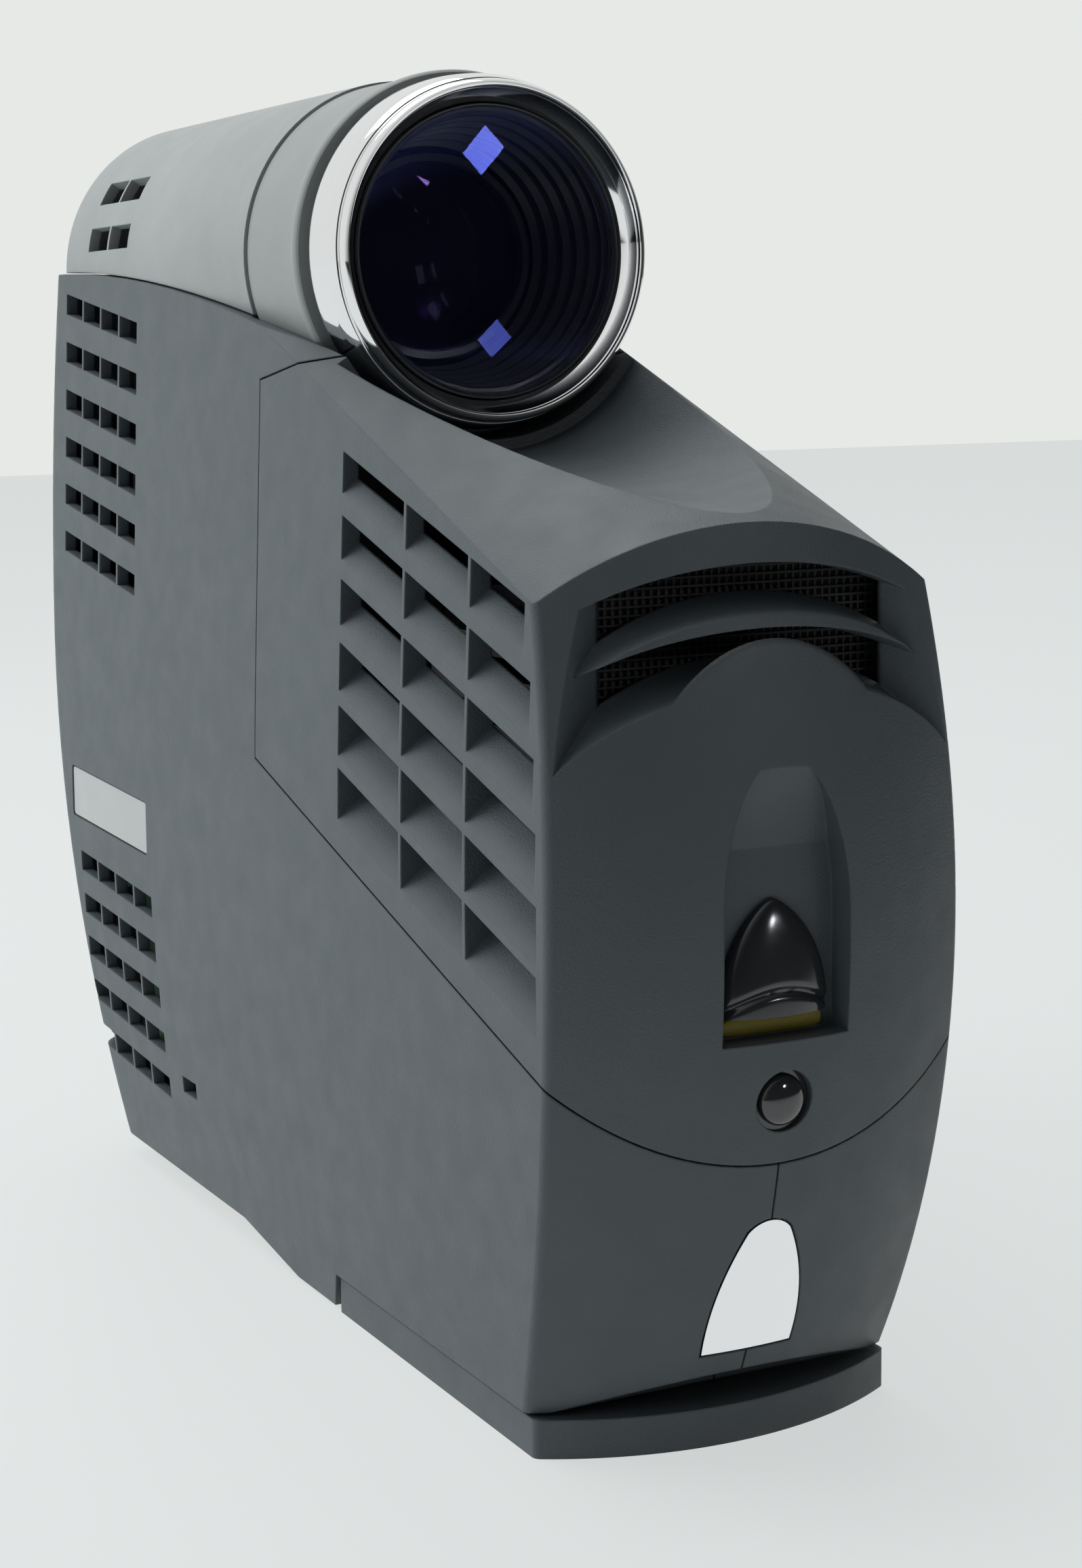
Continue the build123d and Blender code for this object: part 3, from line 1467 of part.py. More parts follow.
terminal_radius = 7.0
terminal_mouth = reflector_apex - reflector_wall
socket_floor = 31.0
socket_radius = 2.4
stem_radius = 2.3
bulb_radius = 4.8
bulb_taper = 3.0
bulb_start = 43.5
bulb_end = 48.0
burner_tip = 60.0
tip_radius = 2.0
with BuildPart() as lamp_terminal:
    add(
        about_beam(
            [
                (lamp_start + lamp_wall, 0),
                (lamp_start + lamp_wall, terminal_radius),
                (socket_floor, terminal_radius),
                (terminal_mouth, terminal_radius - 0.5),
                (terminal_mouth, socket_radius),
                (socket_floor, socket_radius),
                (socket_floor, 0),
            ]
        )
    )
finish(lamp_terminal, "lamp_terminal")

with BuildPart() as lamp_burner:
    add(
        about_beam(
            [
                (socket_floor, 0),
                (socket_floor, stem_radius),
                (bulb_start - bulb_taper, stem_radius),
                (bulb_start, bulb_radius),
                (bulb_end, bulb_radius),
                (bulb_end + bulb_taper, stem_radius),
                (burner_tip, tip_radius),
                (burner_tip, 0),
            ]
        )
    )
finish(lamp_burner, "lamp_burner")

# ---------------------------------------------------------------- colour wheel
wheel_z = 107.0
wheel_radius = 17.5
wheel_start = 76.6
wheel_thickness = 1.2
hub_radius = 7.5
hub_length = 2.0
shaft_radius = 1.2
shaft_tip = 0.8
wheel_motor_radius = 8.0
motor_start = 79.2
bracket_start = 89.0
bracket_thickness = 2.5
bracket_half = 14.0
bracket_top_z = 118.0
bracket_corner = 1.0
bracket_foot = 8.0
bracket_foot_height = 2.0


def about_wheel(points):
    """A solid turned about the colour wheel's shaft from (distance, radius) points."""
    with BuildPart() as piece:
        with BuildSketch(Plane.YZ):
            Polygon(*[(behind(d), wheel_z + r) for d, r in points], align=None)
        revolve(axis=Axis((0, 0, wheel_z), (0, 1, 0)))
    return piece.part


with BuildPart() as color_wheel:
    hub_bore = shaft_radius + running_fit
    add(
        about_wheel(
            [
                (wheel_start, hub_bore),
                (wheel_start, wheel_radius),
                (wheel_start + wheel_thickness, wheel_radius),
                (wheel_start + wheel_thickness, hub_radius),
                (wheel_start + hub_length, hub_radius),
                (wheel_start + hub_length, hub_bore),
            ]
        )
    )
finish(color_wheel, "color_wheel")

with BuildPart() as wheel_motor:
    add(
        about_wheel(
            [
                (wheel_start - shaft_tip, 0),
                (wheel_start - shaft_tip, shaft_radius),
                (motor_start, shaft_radius),
                (motor_start, wheel_motor_radius),
                (bracket_start, wheel_motor_radius),
                (bracket_start, 0),
            ]
        )
    )
finish(wheel_motor, "wheel_motor")

with BuildPart() as wheel_bracket:
    with BuildSketch(Plane.XZ.offset(-behind(bracket_start))):
        with Locations((0, (chassis_z + chassis_plate + bracket_top_z) / 2)):
            RectangleRounded(2 * bracket_half, bracket_top_z - chassis_z - chassis_plate, bracket_corner)
        with Locations((0, beam_z)):
            Rectangle(2 * tunnel_half, 2 * tunnel_half, mode=Mode.SUBTRACT)
    extrude(amount=-bracket_thickness)
    with BuildSketch(Plane.XY.offset(chassis_z + chassis_plate)):
        with Locations((0, behind(bracket_start + bracket_thickness + bracket_foot / 2))):
            Rectangle(2 * bracket_half, bracket_foot)
    extrude(amount=bracket_foot_height)
finish(wheel_bracket, "wheel_bracket")

# ---------------------------------------------------------------- boards and ballast
board_hole_radius = 1.2


def board_blank(box):
    """A circuit board standing against its bosses, at positive x."""
    with BuildPart() as board:
        with BuildSketch(Plane.YZ.offset(board_x - board_thickness)):
            with Locations((behind((box["start"] + box["end"]) / 2), (box["low"] + box["high"]) / 2)):
                Rectangle(box["end"] - box["start"], box["high"] - box["low"])
            with Locations(*board_bosses(box)):
                Circle(board_hole_radius, mode=Mode.SUBTRACT)
        extrude(amount=board_thickness)
    return board.part


def along(board, share):
    """Y of a point at this share of a board's length."""
    return behind(board["start"] + share * (board["end"] - board["start"]))


def mounted_boxes(board, boxes):
    """Boxes on a board at positive x: share of its length, z, length, height, how far they stand."""
    with BuildPart() as group:
        for share, z, length, height, stand in boxes:
            with BuildSketch(Plane.YZ.offset(board_x - board_thickness - stand)):
                with Locations((along(board, share), z)):
                    Rectangle(length, height)
            extrude(amount=stand)
    return group.part


def mounted_cans(board, cans):
    """Round capacitors on a board at positive x: share of its length, z, radius, how far they stand."""
    with BuildPart() as group:
        for share, z, radius, stand in cans:
            with BuildSketch(Plane.YZ.offset(board_x - board_thickness - stand)):
                with Locations((along(board, share), z)):
                    Circle(radius)
            extrude(amount=stand)
    return group.part


main_board_boxes = [
    (0.22, 125.0, 22.0, 22.0, 2.4),
    (0.52, 128.0, 14.0, 14.0, 1.6),
    (0.22, 100.0, 12.0, 18.0, 1.4),
    (0.43, 100.0, 12.0, 18.0, 1.4),
    (0.71, 112.0, 9.0, 9.0, 1.4),
    (0.69, 90.0, 16.0, 8.0, 4.2),
]
power_board_boxes = [
    (0.24, 38.0, 24.0, 22.0, 13.0),
    (0.65, 44.0, 14.0, 16.0, 10.0),
    (0.83, 28.0, 12.0, 18.0, 9.0),
]
power_board_cans = [(0.49, 48.0, 5.0, 12.0), (0.49, 30.0, 6.5, 13.0), (0.67, 25.0, 4.0, 9.0)]
with BuildPart() as main_board:
    add(board_blank(main_board_box))
finish(main_board, "main_board")

with BuildPart() as main_board_chips:
    add(mounted_boxes(main_board_box, main_board_boxes))
finish(main_board_chips, "main_board_chips")

with BuildPart() as power_board:
    add(board_blank(power_board_box).mirror(Plane.YZ))
finish(power_board, "power_board")

with BuildPart() as power_parts:
    add(mounted_boxes(power_board_box, power_board_boxes).mirror(Plane.YZ))
    add(mounted_cans(power_board_box, power_board_cans).mirror(Plane.YZ))
finish(power_parts, "power_parts")

with BuildPart() as lamp_ballast:
    with BuildSketch(Plane.XY.offset(ballast_z)):
        with Locations(
            (
                (ballast_box["inner"] + ballast_box["outer"]) / 2,
                behind(ballast_box["start"] + ballast_box["length"] / 2),
            )
        ):
            ballast_width = ballast_box["outer"] - ballast_box["inner"]
            RectangleRounded(ballast_width, ballast_box["length"], ballast_corner)
    extrude(amount=ballast_box["height"])
finish(lamp_ballast, "lamp_ballast")

# ---------------------------------------------------------------- fans
fan_bore = 19.0
fan_hub_radius = 10.0
fan_blade_radius = 18.3
fan_blades = 7
fan_pin_radius = 1.5
fan_strut = 2.6
fan_strut_height = 1.8
blade_thickness = 1.2
blade_sweep = 3.2
blade_root = 1.0
blade_drop = 1.2
fan_corner = 2.5
fan_gap = 0.5
strut_grip = 1.0
pin_drop = 2.0
hub_drop = 0.6
hub_cap = 1.6


def fan_frame_part(size, height):
    """A square fan frame lying on Z = 0, open at the top, with struts and a pin in the middle."""
    with BuildPart() as frame:
        with BuildSketch(Plane.XY):
            RectangleRounded(size, size, fan_corner)
            Circle(fan_bore, mode=Mode.SUBTRACT)
        extrude(amount=height)
        with BuildSketch(Plane.XY):
            Circle(fan_hub_radius)
            with PolarLocations((fan_bore + fan_hub_radius) / 2, 3):
                Rectangle(fan_bore - fan_hub_radius + 2 * strut_grip, fan_strut)
        extrude(amount=fan_strut_height)
        with BuildSketch(Plane.XY):
            Circle(fan_pin_radius)
        extrude(amount=height - pin_drop)
    return frame.part


def fan_rotor_part(height):
    """The fan's hub and blades, standing clear above the struts."""
    base = fan_strut_height + fan_gap
    with BuildPart() as rotor:
        with BuildSketch(Plane.XY.offset(base)):
            Circle(fan_hub_radius)
        extrude(amount=height - base - hub_drop)
        for blade in range(fan_blades):
            with BuildPart(mode=Mode.PRIVATE) as one:
                with BuildSketch(Plane.YZ.offset(fan_hub_radius - blade_root)):
                    Polygon(
                        (-blade_sweep, base),
                        (-blade_sweep + blade_thickness, base),
                        (blade_sweep, height - blade_drop),
                        (blade_sweep - blade_thickness, height - blade_drop),
                        align=None,
                    )
                extrude(amount=fan_blade_radius - fan_hub_radius + blade_root)
            add(one.part.rotate(Axis.Z, blade * 360 / fan_blades))
        with BuildSketch(Plane.XY.offset(base)):
            Circle(fan_pin_radius + running_fit)
        extrude(amount=height - base - hub_cap, mode=Mode.SUBTRACT)
    return rotor.part


lamp_fan_spot = Location((0, behind(lamp_fan_start + lamp_fan_size / 2), lamp_fan_z))
with BuildPart() as lamp_fan_frame:
    add(fan_frame_part(lamp_fan_size, lamp_fan_depth).moved(lamp_fan_spot))
finish(lamp_fan_frame, "lamp_fan_frame")

with BuildPart() as lamp_fan_rotor:
    add(fan_rotor_part(lamp_fan_depth).moved(lamp_fan_spot))
finish(lamp_fan_rotor, "lamp_fan_rotor")

rear_fan_x = -3.0
rear_fan_spot = Location((rear_fan_x, behind(rear_fan_start), rear_fan_z + rear_fan_size / 2), (-90, 0, 0))
with BuildPart() as rear_fan_frame:
    add(fan_frame_part(rear_fan_size, rear_fan_depth).moved(rear_fan_spot))
finish(rear_fan_frame, "rear_fan_frame")

with BuildPart() as rear_fan_rotor:
    add(fan_rotor_part(rear_fan_depth).moved(rear_fan_spot))
finish(rear_fan_rotor, "rear_fan_rotor")

# ---------------------------------------------------------------- connector panel
panel_half = pocket_half_width + pocket_wall
inlet_z = 78.0
inlet_width = 30.0
inlet_height = 22.0
inlet_depth = 9.0
inlet_socket_width = 24.0
inlet_socket_height = 16.5
inlet_socket_depth = 7.5
inlet_corner = 2.0
socket_chamfer = 5.0
contact_width = 2.0
contact_height = 4.0
contact_x = 7.0
contact_z = 2.0
contact_drop = 2.0
with BuildPart() as connector_panel:
    with BuildSketch(Plane.XZ.offset(-behind(pocket_floor))):
        with Locations((0, (pocket_bottom_z + pocket_top_z) / 2)):
            Rectangle(2 * panel_half, pocket_top_z - pocket_bottom_z + 2 * pocket_wall)
    extrude(amount=panel_thickness)
finish(connector_panel, "connector_panel")

with BuildPart() as power_inlet:
    with BuildSketch(Plane.XZ.offset(-behind(pocket_floor))):
        with Locations((0, inlet_z)):
            RectangleRounded(inlet_width, inlet_height, inlet_corner)
    extrude(amount=-inlet_depth)
    with BuildSketch(Plane.XZ.offset(-behind(pocket_floor + inlet_depth))):
        with Locations((0, inlet_z)):
            half_w = inlet_socket_width / 2
            half_h = inlet_socket_height / 2
            Polygon(
                (-half_w, -half_h),
                (half_w, -half_h),
                (half_w, half_h - socket_chamfer),
                (half_w - socket_chamfer, half_h),
                (socket_chamfer - half_w, half_h),
                (-half_w, half_h - socket_chamfer),
                align=None,
            )
    extrude(amount=inlet_socket_depth, mode=Mode.SUBTRACT)
    with BuildSketch(Plane.XZ.offset(-behind(pocket_floor + inlet_depth - inlet_socket_depth))):
        lower_z = inlet_z - contact_z
        with Locations((0, inlet_z + contact_z), (-contact_x, lower_z), (contact_x, lower_z)):
            Rectangle(contact_width, contact_height)
    extrude(amount=-(inlet_socket_depth - contact_drop))
finish(power_inlet, "power_inlet")

port_z = 104.0
port_depth = 6.0
port_floor = 1.5
port_rise = 16.0
wide_port = (31.0, 12.5, 2.0)
wide_socket = (19.0, 9.2, 80.0)
narrow_port = (15.0, 6.5, 1.2)
narrow_socket = (12.5, 4.2)
with BuildPart() as video_ports:
    with BuildSketch(Plane.XZ.offset(-behind(pocket_floor))):
        with Locations((0, port_z)):
            RectangleRounded(*wide_port)
        with Locations((0, port_z + port_rise)):
            RectangleRounded(*narrow_port)
    extrude(amount=-port_depth)
    with BuildSketch(Plane.XZ.offset(-behind(pocket_floor + port_depth))):
        with Locations((0, port_z)):
            Trapezoid(*wide_socket, rotation=180)
        with Locations((0, port_z + port_rise)):
            Rectangle(*narrow_socket)
    extrude(amount=port_depth - port_floor, mode=Mode.SUBTRACT)
finish(video_ports, "video_ports")

jack_z = 130.5
jack_radius = 4.2
jack_bore = 1.7
jack_length = 7.0
jack_pitch = 13.0
with BuildPart() as av_jacks:
    with BuildSketch(Plane.XZ.offset(-behind(pocket_floor))):
        with Locations((-jack_pitch, jack_z), (0, jack_z), (jack_pitch, jack_z)):
            Circle(jack_radius)
            Circle(jack_bore, mode=Mode.SUBTRACT)
    extrude(amount=-jack_length)
finish(av_jacks, "av_jacks")
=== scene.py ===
import json
from math import cos, exp, pi, radians, sin, sqrt

import bmesh
import bpy
from mathutils import Matrix, Vector


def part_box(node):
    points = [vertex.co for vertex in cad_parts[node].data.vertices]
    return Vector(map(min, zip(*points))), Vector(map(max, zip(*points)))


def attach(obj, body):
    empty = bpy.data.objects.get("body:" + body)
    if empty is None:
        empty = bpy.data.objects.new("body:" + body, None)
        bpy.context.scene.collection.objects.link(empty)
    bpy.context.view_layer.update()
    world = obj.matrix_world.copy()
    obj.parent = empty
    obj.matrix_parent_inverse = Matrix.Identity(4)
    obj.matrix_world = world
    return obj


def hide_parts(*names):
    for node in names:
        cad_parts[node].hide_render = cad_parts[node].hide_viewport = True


# The looks of an upright portable projector, in the frame's own axes: metres, +Z up, and the lens
# looks along -Y. Sections are written in mm, and their depth counts from the crown of the front
# face towards the rear.

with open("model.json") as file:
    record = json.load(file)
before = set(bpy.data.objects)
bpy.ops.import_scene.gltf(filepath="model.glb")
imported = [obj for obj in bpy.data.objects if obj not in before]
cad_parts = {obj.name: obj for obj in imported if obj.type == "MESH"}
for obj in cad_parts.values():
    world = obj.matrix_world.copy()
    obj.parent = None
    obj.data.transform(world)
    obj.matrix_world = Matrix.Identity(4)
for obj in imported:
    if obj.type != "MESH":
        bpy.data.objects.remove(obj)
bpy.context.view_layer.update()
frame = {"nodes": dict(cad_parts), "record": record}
nodes = frame["nodes"]

MM = 0.001
FRONT_Y = -0.115
LENS_Z = 0.1708


def behind(distance_mm):
    """Y of a point this far behind the crown of the front face."""
    return FRONT_Y + distance_mm * MM


# ---------------------------------------------------------------- camera
CAMERA_PLACE = Vector((-0.1984, -0.4301, 0.1565))
CAMERA_AZIMUTH = radians(-27.0)
CAMERA_ELEVATION = radians(8.99)
CAMERA_ROLL = radians(-0.746)
FOCAL_MM = 64.05
SENSOR_MM = 36.0
NEAREST = 0.01


def add_camera():
    """The camera at the photograph's viewing angle."""
    back = Vector(
        (
            sin(CAMERA_AZIMUTH) * cos(CAMERA_ELEVATION),
            -cos(CAMERA_AZIMUTH) * cos(CAMERA_ELEVATION),
            sin(CAMERA_ELEVATION),
        )
    )
    right = (-back).cross(Vector((0, 0, 1))).normalized()
    up = right.cross(-back)
    rolled_right = cos(CAMERA_ROLL) * right + sin(CAMERA_ROLL) * up
    rolled_up = -sin(CAMERA_ROLL) * right + cos(CAMERA_ROLL) * up
    data = bpy.data.cameras.new("camera")
    data.lens = FOCAL_MM
    data.sensor_width = SENSOR_MM
    data.sensor_height = SENSOR_MM
    data.sensor_fit = "AUTO"
    data.clip_start = NEAREST
    camera = bpy.data.objects.new("camera", data)
    bpy.context.scene.collection.objects.link(camera)
    turn = Matrix((rolled_right, rolled_up, back)).transposed().to_4x4()
    camera.matrix_world = Matrix.Translation(CAMERA_PLACE) @ turn
    bpy.context.scene.camera = camera


add_camera()


# ---------------------------------------------------------------- materials
# Each noise is (scale, detail).
TINT_NOISE = (28.0, 3.0)
GLOSS_NOISE = (160.0, 4.0)
SMEAR_NOISE = (220.0, 5.0)
GRAIN_DETAIL = 2.0
NOISE_MIDDLE = (0.3, 0.7)
BEVEL_SAMPLES = 4
GLASS_IOR = 1.5
GLASS_SMEAR = (0.0, 0.008)


def new_material(name):
    """An empty node material with its shader and output joined."""
    material = bpy.data.materials.new(name)
    material.use_nodes = True
    tree = material.node_tree
    tree.nodes.clear()
    output = tree.nodes.new("ShaderNodeOutputMaterial")
    shader = tree.nodes.new("ShaderNodeBsdfPrincipled")
    tree.links.new(shader.outputs["BSDF"], output.inputs["Surface"])
    return material, tree, shader


def noise_at(tree, coords, scale, detail):
    """A noise texture on object coordinates."""
    noise = tree.nodes.new("ShaderNodeTexNoise")
    noise.inputs["Scale"].default_value = scale
    noise.inputs["Detail"].default_value = detail
    tree.links.new(coords.outputs["Object"], noise.inputs["Vector"])
    return noise


def spread(tree, noise, low, high):
    """Maps the useful middle of a noise to a range."""
    ramp = tree.nodes.new("ShaderNodeMapRange")
    ramp.inputs["From Min"].default_value = NOISE_MIDDLE[0]
    ramp.inputs["From Max"].default_value = NOISE_MIDDLE[1]
    ramp.inputs["To Min"].default_value = low
    ramp.inputs["To Max"].default_value = high
    tree.links.new(noise.outputs["Fac"], ramp.inputs["Value"])
    return ramp.outputs["Result"]


def surface(
    name,
    colour,
    roughness,
    metallic=0.0,
    grain_size=0.0,
    grain_depth=0.0,
    mottle=0.06,
    rough_spread=0.05,
    edge=0.0,
    specular=0.5,
):
    """A moulded or metal surface: fine grain, slow colour change, uneven gloss, rounded edges."""
    material, tree, shader = new_material(name)
    coords = tree.nodes.new("ShaderNodeTexCoord")
    tint = tree.nodes.new("ShaderNodeMix")
    tint.data_type = "RGBA"
    tint.inputs["A"].default_value = [c * (1 - mottle) for c in colour] + [1]
    tint.inputs["B"].default_value = [min(c * (1 + mottle), 1) for c in colour] + [1]
    slow = noise_at(tree, coords, *TINT_NOISE)
    tree.links.new(spread(tree, slow, 0, 1), tint.inputs["Factor"])
    tree.links.new(tint.outputs["Result"], shader.inputs["Base Color"])
    uneven = noise_at(tree, coords, *GLOSS_NOISE)
    gloss = spread(tree, uneven, roughness - rough_spread, roughness + rough_spread)
    tree.links.new(gloss, shader.inputs["Roughness"])
    shader.inputs["Metallic"].default_value = metallic
    shader.inputs["Specular IOR Level"].default_value = specular
    normal = None
    if edge:
        bevel = tree.nodes.new("ShaderNodeBevel")
        bevel.samples = BEVEL_SAMPLES
        bevel.inputs["Radius"].default_value = edge
        normal = bevel.outputs["Normal"]
    if grain_size:
        grain = noise_at(tree, coords, 1.0 / grain_size, GRAIN_DETAIL)
        bump = tree.nodes.new("ShaderNodeBump")
        bump.inputs["Strength"].default_value = 1.0
        bump.inputs["Distance"].default_value = grain_depth
        tree.links.new(grain.outputs["Fac"], bump.inputs["Height"])
        if normal:
            tree.links.new(normal, bump.inputs["Normal"])
        normal = bump.outputs["Normal"]
    if normal:
        tree.links.new(normal, shader.inputs["Normal"])
    return material


def coated(name, colour, sheen, transmission):
    """Coated optical glass: tinted through and through, with a coloured, weakened reflection."""
    material, tree, shader = new_material(name)
    coords = tree.nodes.new("ShaderNodeTexCoord")
    smear = spread(tree, noise_at(tree, coords, *SMEAR_NOISE), *GLASS_SMEAR)
    tree.links.new(smear, shader.inputs["Roughness"])
    shader.inputs["Base Color"].default_value = (*colour, 1)
    shader.inputs["IOR"].default_value = GLASS_IOR
    shader.inputs["Transmission Weight"].default_value = transmission
    shader.inputs["Specular Tint"].default_value = (*sheen, 1)
    return material


SMOOTH_GRAIN = {"grain_size": 0.0005, "grain_depth": 0.00002}
POLISHED = {"metallic": 1.0, "rough_spread": 0.02}

SURFACES = {
    "dark_plastic": {
        "colour": (0.086, 0.103, 0.113),
        "roughness": 0.5,
        "grain_size": 0.00035,
        "grain_depth": 0.00008,
        "mottle": 0.025,
        "edge": 0.0005,
    },
    "silver_plastic": {
        "colour": (0.31, 0.33, 0.33),
        "roughness": 0.42,
        "edge": 0.0004,
        **SMOOTH_GRAIN,
    },
    "ring_grey": {"colour": (0.30, 0.318, 0.318), "roughness": 0.42, **SMOOTH_GRAIN},
    "key_plastic": {"colour": (0.30, 0.31, 0.31), "roughness": 0.4, **SMOOTH_GRAIN},
    "yellow_plastic": {
        "colour": (0.36, 0.29, 0.02),
        "roughness": 0.45,
        "grain_size": 0.0006,
        "grain_depth": 0.00003,
    },
    "black_plastic": {
        "colour": (0.012, 0.012, 0.014),
        "roughness": 0.5,
        "grain_size": 0.0005,
        "grain_depth": 0.00004,
    },
    "foot_rubber": {
        "colour": (0.02, 0.02, 0.02),
        "roughness": 0.7,
        "grain_size": 0.0008,
        "grain_depth": 0.00006,
    },
    "bright_chrome": {"colour": (0.86, 0.86, 0.87), "roughness": 0.07, "mottle": 0.01, **POLISHED},
    "mirror_glass": {"colour": (0.75, 0.76, 0.78), "roughness": 0.06, "mottle": 0.02, **POLISHED},
    "smoked_chrome": {
        "colour": (0.035, 0.036, 0.042),
        "roughness": 0.17,
        "metallic": 0.25,
        "mottle": 0.1,
        "specular": 0.9,
    },
    "clear_dome": {
        "colour": (0.03, 0.03, 0.034),
        "roughness": 0.08,
        "mottle": 0.2,
        "specular": 0.9,
    },
    "pale_foil": {
        "colour": (0.47, 0.485, 0.48),
        "roughness": 0.4,
        "mottle": 0.03,
        "edge": 0.0002,
    },
    "steel": {"colour": (0.42, 0.42, 0.42), "roughness": 0.3, "metallic": 1.0, "edge": 0.0002},
    "cast_metal": {
        "colour": (0.16, 0.165, 0.17),
        "roughness": 0.5,
        "metallic": 0.8,
        "grain_size": 0.001,
        "grain_depth": 0.0001,
    },
    "sink_metal": {"colour": (0.35, 0.35, 0.36), "roughness": 0.35, "metallic": 0.9},
    "lamp_metal": {"colour": (0.05, 0.05, 0.052), "roughness": 0.45, "metallic": 0.6},
    "jack_brass": {"colour": (0.55, 0.42, 0.16), "roughness": 0.25, "metallic": 1.0},
    "circuit_board": {"colour": (0.008, 0.06, 0.022), "roughness": 0.4, "mottle": 0.3},
    "ceramic": {"colour": (0.75, 0.72, 0.66), "roughness": 0.3},
}
GLASSES = {
    "coated_glass": {
        "colour": (0.80, 0.82, 0.9),
        "sheen": (0.09, 0.12, 0.62),
        "transmission": 1.0,
    },
    "plain_glass": {"colour": (0.9, 0.93, 0.95), "sheen": (0.6, 0.5, 0.7), "transmission": 0.95},
}
MATERIALS = {name: surface(name, **look) for name, look in SURFACES.items()}
MATERIALS.update({name: coated(name, **look) for name, look in GLASSES.items()})

for entry in frame["record"]["subparts"]:
    piece = nodes[entry["node"]]
    piece.data.materials.clear()
    piece.data.materials.append(MATERIALS[entry["material_slot"]])


# ---------------------------------------------------------------- studio
FLOOR_HALF = 3.0
FLOOR_COLOUR = (0.72, 0.75, 0.75, 1)
FLOOR_ROUGHNESS = 0.5
FLOOR_WHITE = (0.80, 0.83, 0.825, 1)
FLOOR_GLOW = 0.75
# Gloss and glass see the floor fade between these two Y, to this share of its white in front.
FLOOR_FADE = (-0.75, -0.2)
FLOOR_DARKEST = 0.04

WALL_WHITE = (0.80, 0.815, 0.80, 1)
AMBIENT_TINT = (0.93, 0.98, 1.0, 1)
AMBIENT_LEVEL = 0.50
FRONT_LEVEL = 0.05
# The world is bright where this mix of a direction's X, Y and Z is high, over this range.
BRIGHT_SIDE = {"X": -0.45, "Y": 0.8, "Z": 0.35}
BRIGHT_RANGE = (-0.40, 0.45)

MIDDLE = (0, 0, 0.1)
SPARK_TURN = radians(38)


def link_math(tree, operation, first, second):
    """A math node whose inputs are sockets or plain numbers."""
    node = tree.nodes.new("ShaderNodeMath")
    node.operation = operation
    for socket, value in zip(node.inputs, (first, second)):
        if isinstance(value, (int, float)):
            socket.default_value = value
        else:
            tree.links.new(value, socket)
    return node.outputs[0]


def axes_of(tree, coordinate):
    """The X, Y and Z outputs of a texture coordinate."""
    coords = tree.nodes.new("ShaderNodeTexCoord")
    split = tree.nodes.new("ShaderNodeSeparateXYZ")
    tree.links.new(coords.outputs[coordinate], split.inputs[0])
    return split.outputs


def smooth_ramp(tree, value, start, end, low):
    """Rises smoothly from low at start to 1 at end."""
    ramp = tree.nodes.new("ShaderNodeMapRange")
    ramp.interpolation_type = "SMOOTHSTEP"
    tree.links.new(value, ramp.inputs["Value"])
    ramp.inputs["From Min"].default_value = start
    ramp.inputs["From Max"].default_value = end
    ramp.inputs["To Min"].default_value = low
    ramp.inputs["To Max"].default_value = 1.0
    return ramp.outputs["Result"]


def mix_shaders(tree, share, first, second):
    """The first shader at a share of 0, and the second at a share of 1."""
    mix = tree.nodes.new("ShaderNodeMixShader")
    tree.links.new(share, mix.inputs["Fac"])
    tree.links.new(first, mix.inputs[1])
    tree.links.new(second, mix.inputs[2])
    return mix.outputs[0]


def background(tree, colour, strength=None):
    """A background, with its strength taken from a socket if one is given."""
    node = tree.nodes.new("ShaderNodeBackground")
    node.inputs["Color"].default_value = colour
    if strength is not None:
        tree.links.new(strength, node.inputs["Strength"])
    return node.outputs[0]


def seen_share(tree, camera_share, mirror_share):
    """The share of plain white for a ray that sees the studio directly, or in gloss or glass."""
    path = tree.nodes.new("ShaderNodeLightPath")
    glossy, through = path.outputs["Is Glossy Ray"], path.outputs["Is Transmission Ray"]
    mirrored = link_math(tree, "MAXIMUM", glossy, through)
    direct = link_math(tree, "MULTIPLY", path.outputs["Is Camera Ray"], camera_share)
    return link_math(tree, "MAXIMUM", direct, link_math(tree, "MULTIPLY", mirrored, mirror_share))


def add_world():
    """Soft light that is strong from the left, the rear and above, and weak from the front."""
    world = bpy.data.worlds.new("studio")
    bpy.context.scene.world = world
    world.use_nodes = True
    tree = world.node_tree
    tree.nodes.clear()
    output = tree.nodes.new("ShaderNodeOutputWorld")
    axes = axes_of(tree, "Generated")
    toward = 0.0
    for axis, share in BRIGHT_SIDE.items():
        toward = link_math(tree, "ADD", toward, link_math(tree, "MULTIPLY", axes[axis], share))
    level = smooth_ramp(tree, toward, *BRIGHT_RANGE, FRONT_LEVEL)
    ambient_level = link_math(tree, "MULTIPLY", level, AMBIENT_LEVEL)
    ambient = background(tree, AMBIENT_TINT, ambient_level)
    mirrored = background(tree, WALL_WHITE, level)
    lit = mix_shaders(tree, seen_share(tree, 0.0, 1.0), ambient, mirrored)
    seen = mix_shaders(tree, seen_share(tree, 1.0, 0.0), lit, background(tree, WALL_WHITE))
    tree.links.new(seen, output.inputs["Surface"])


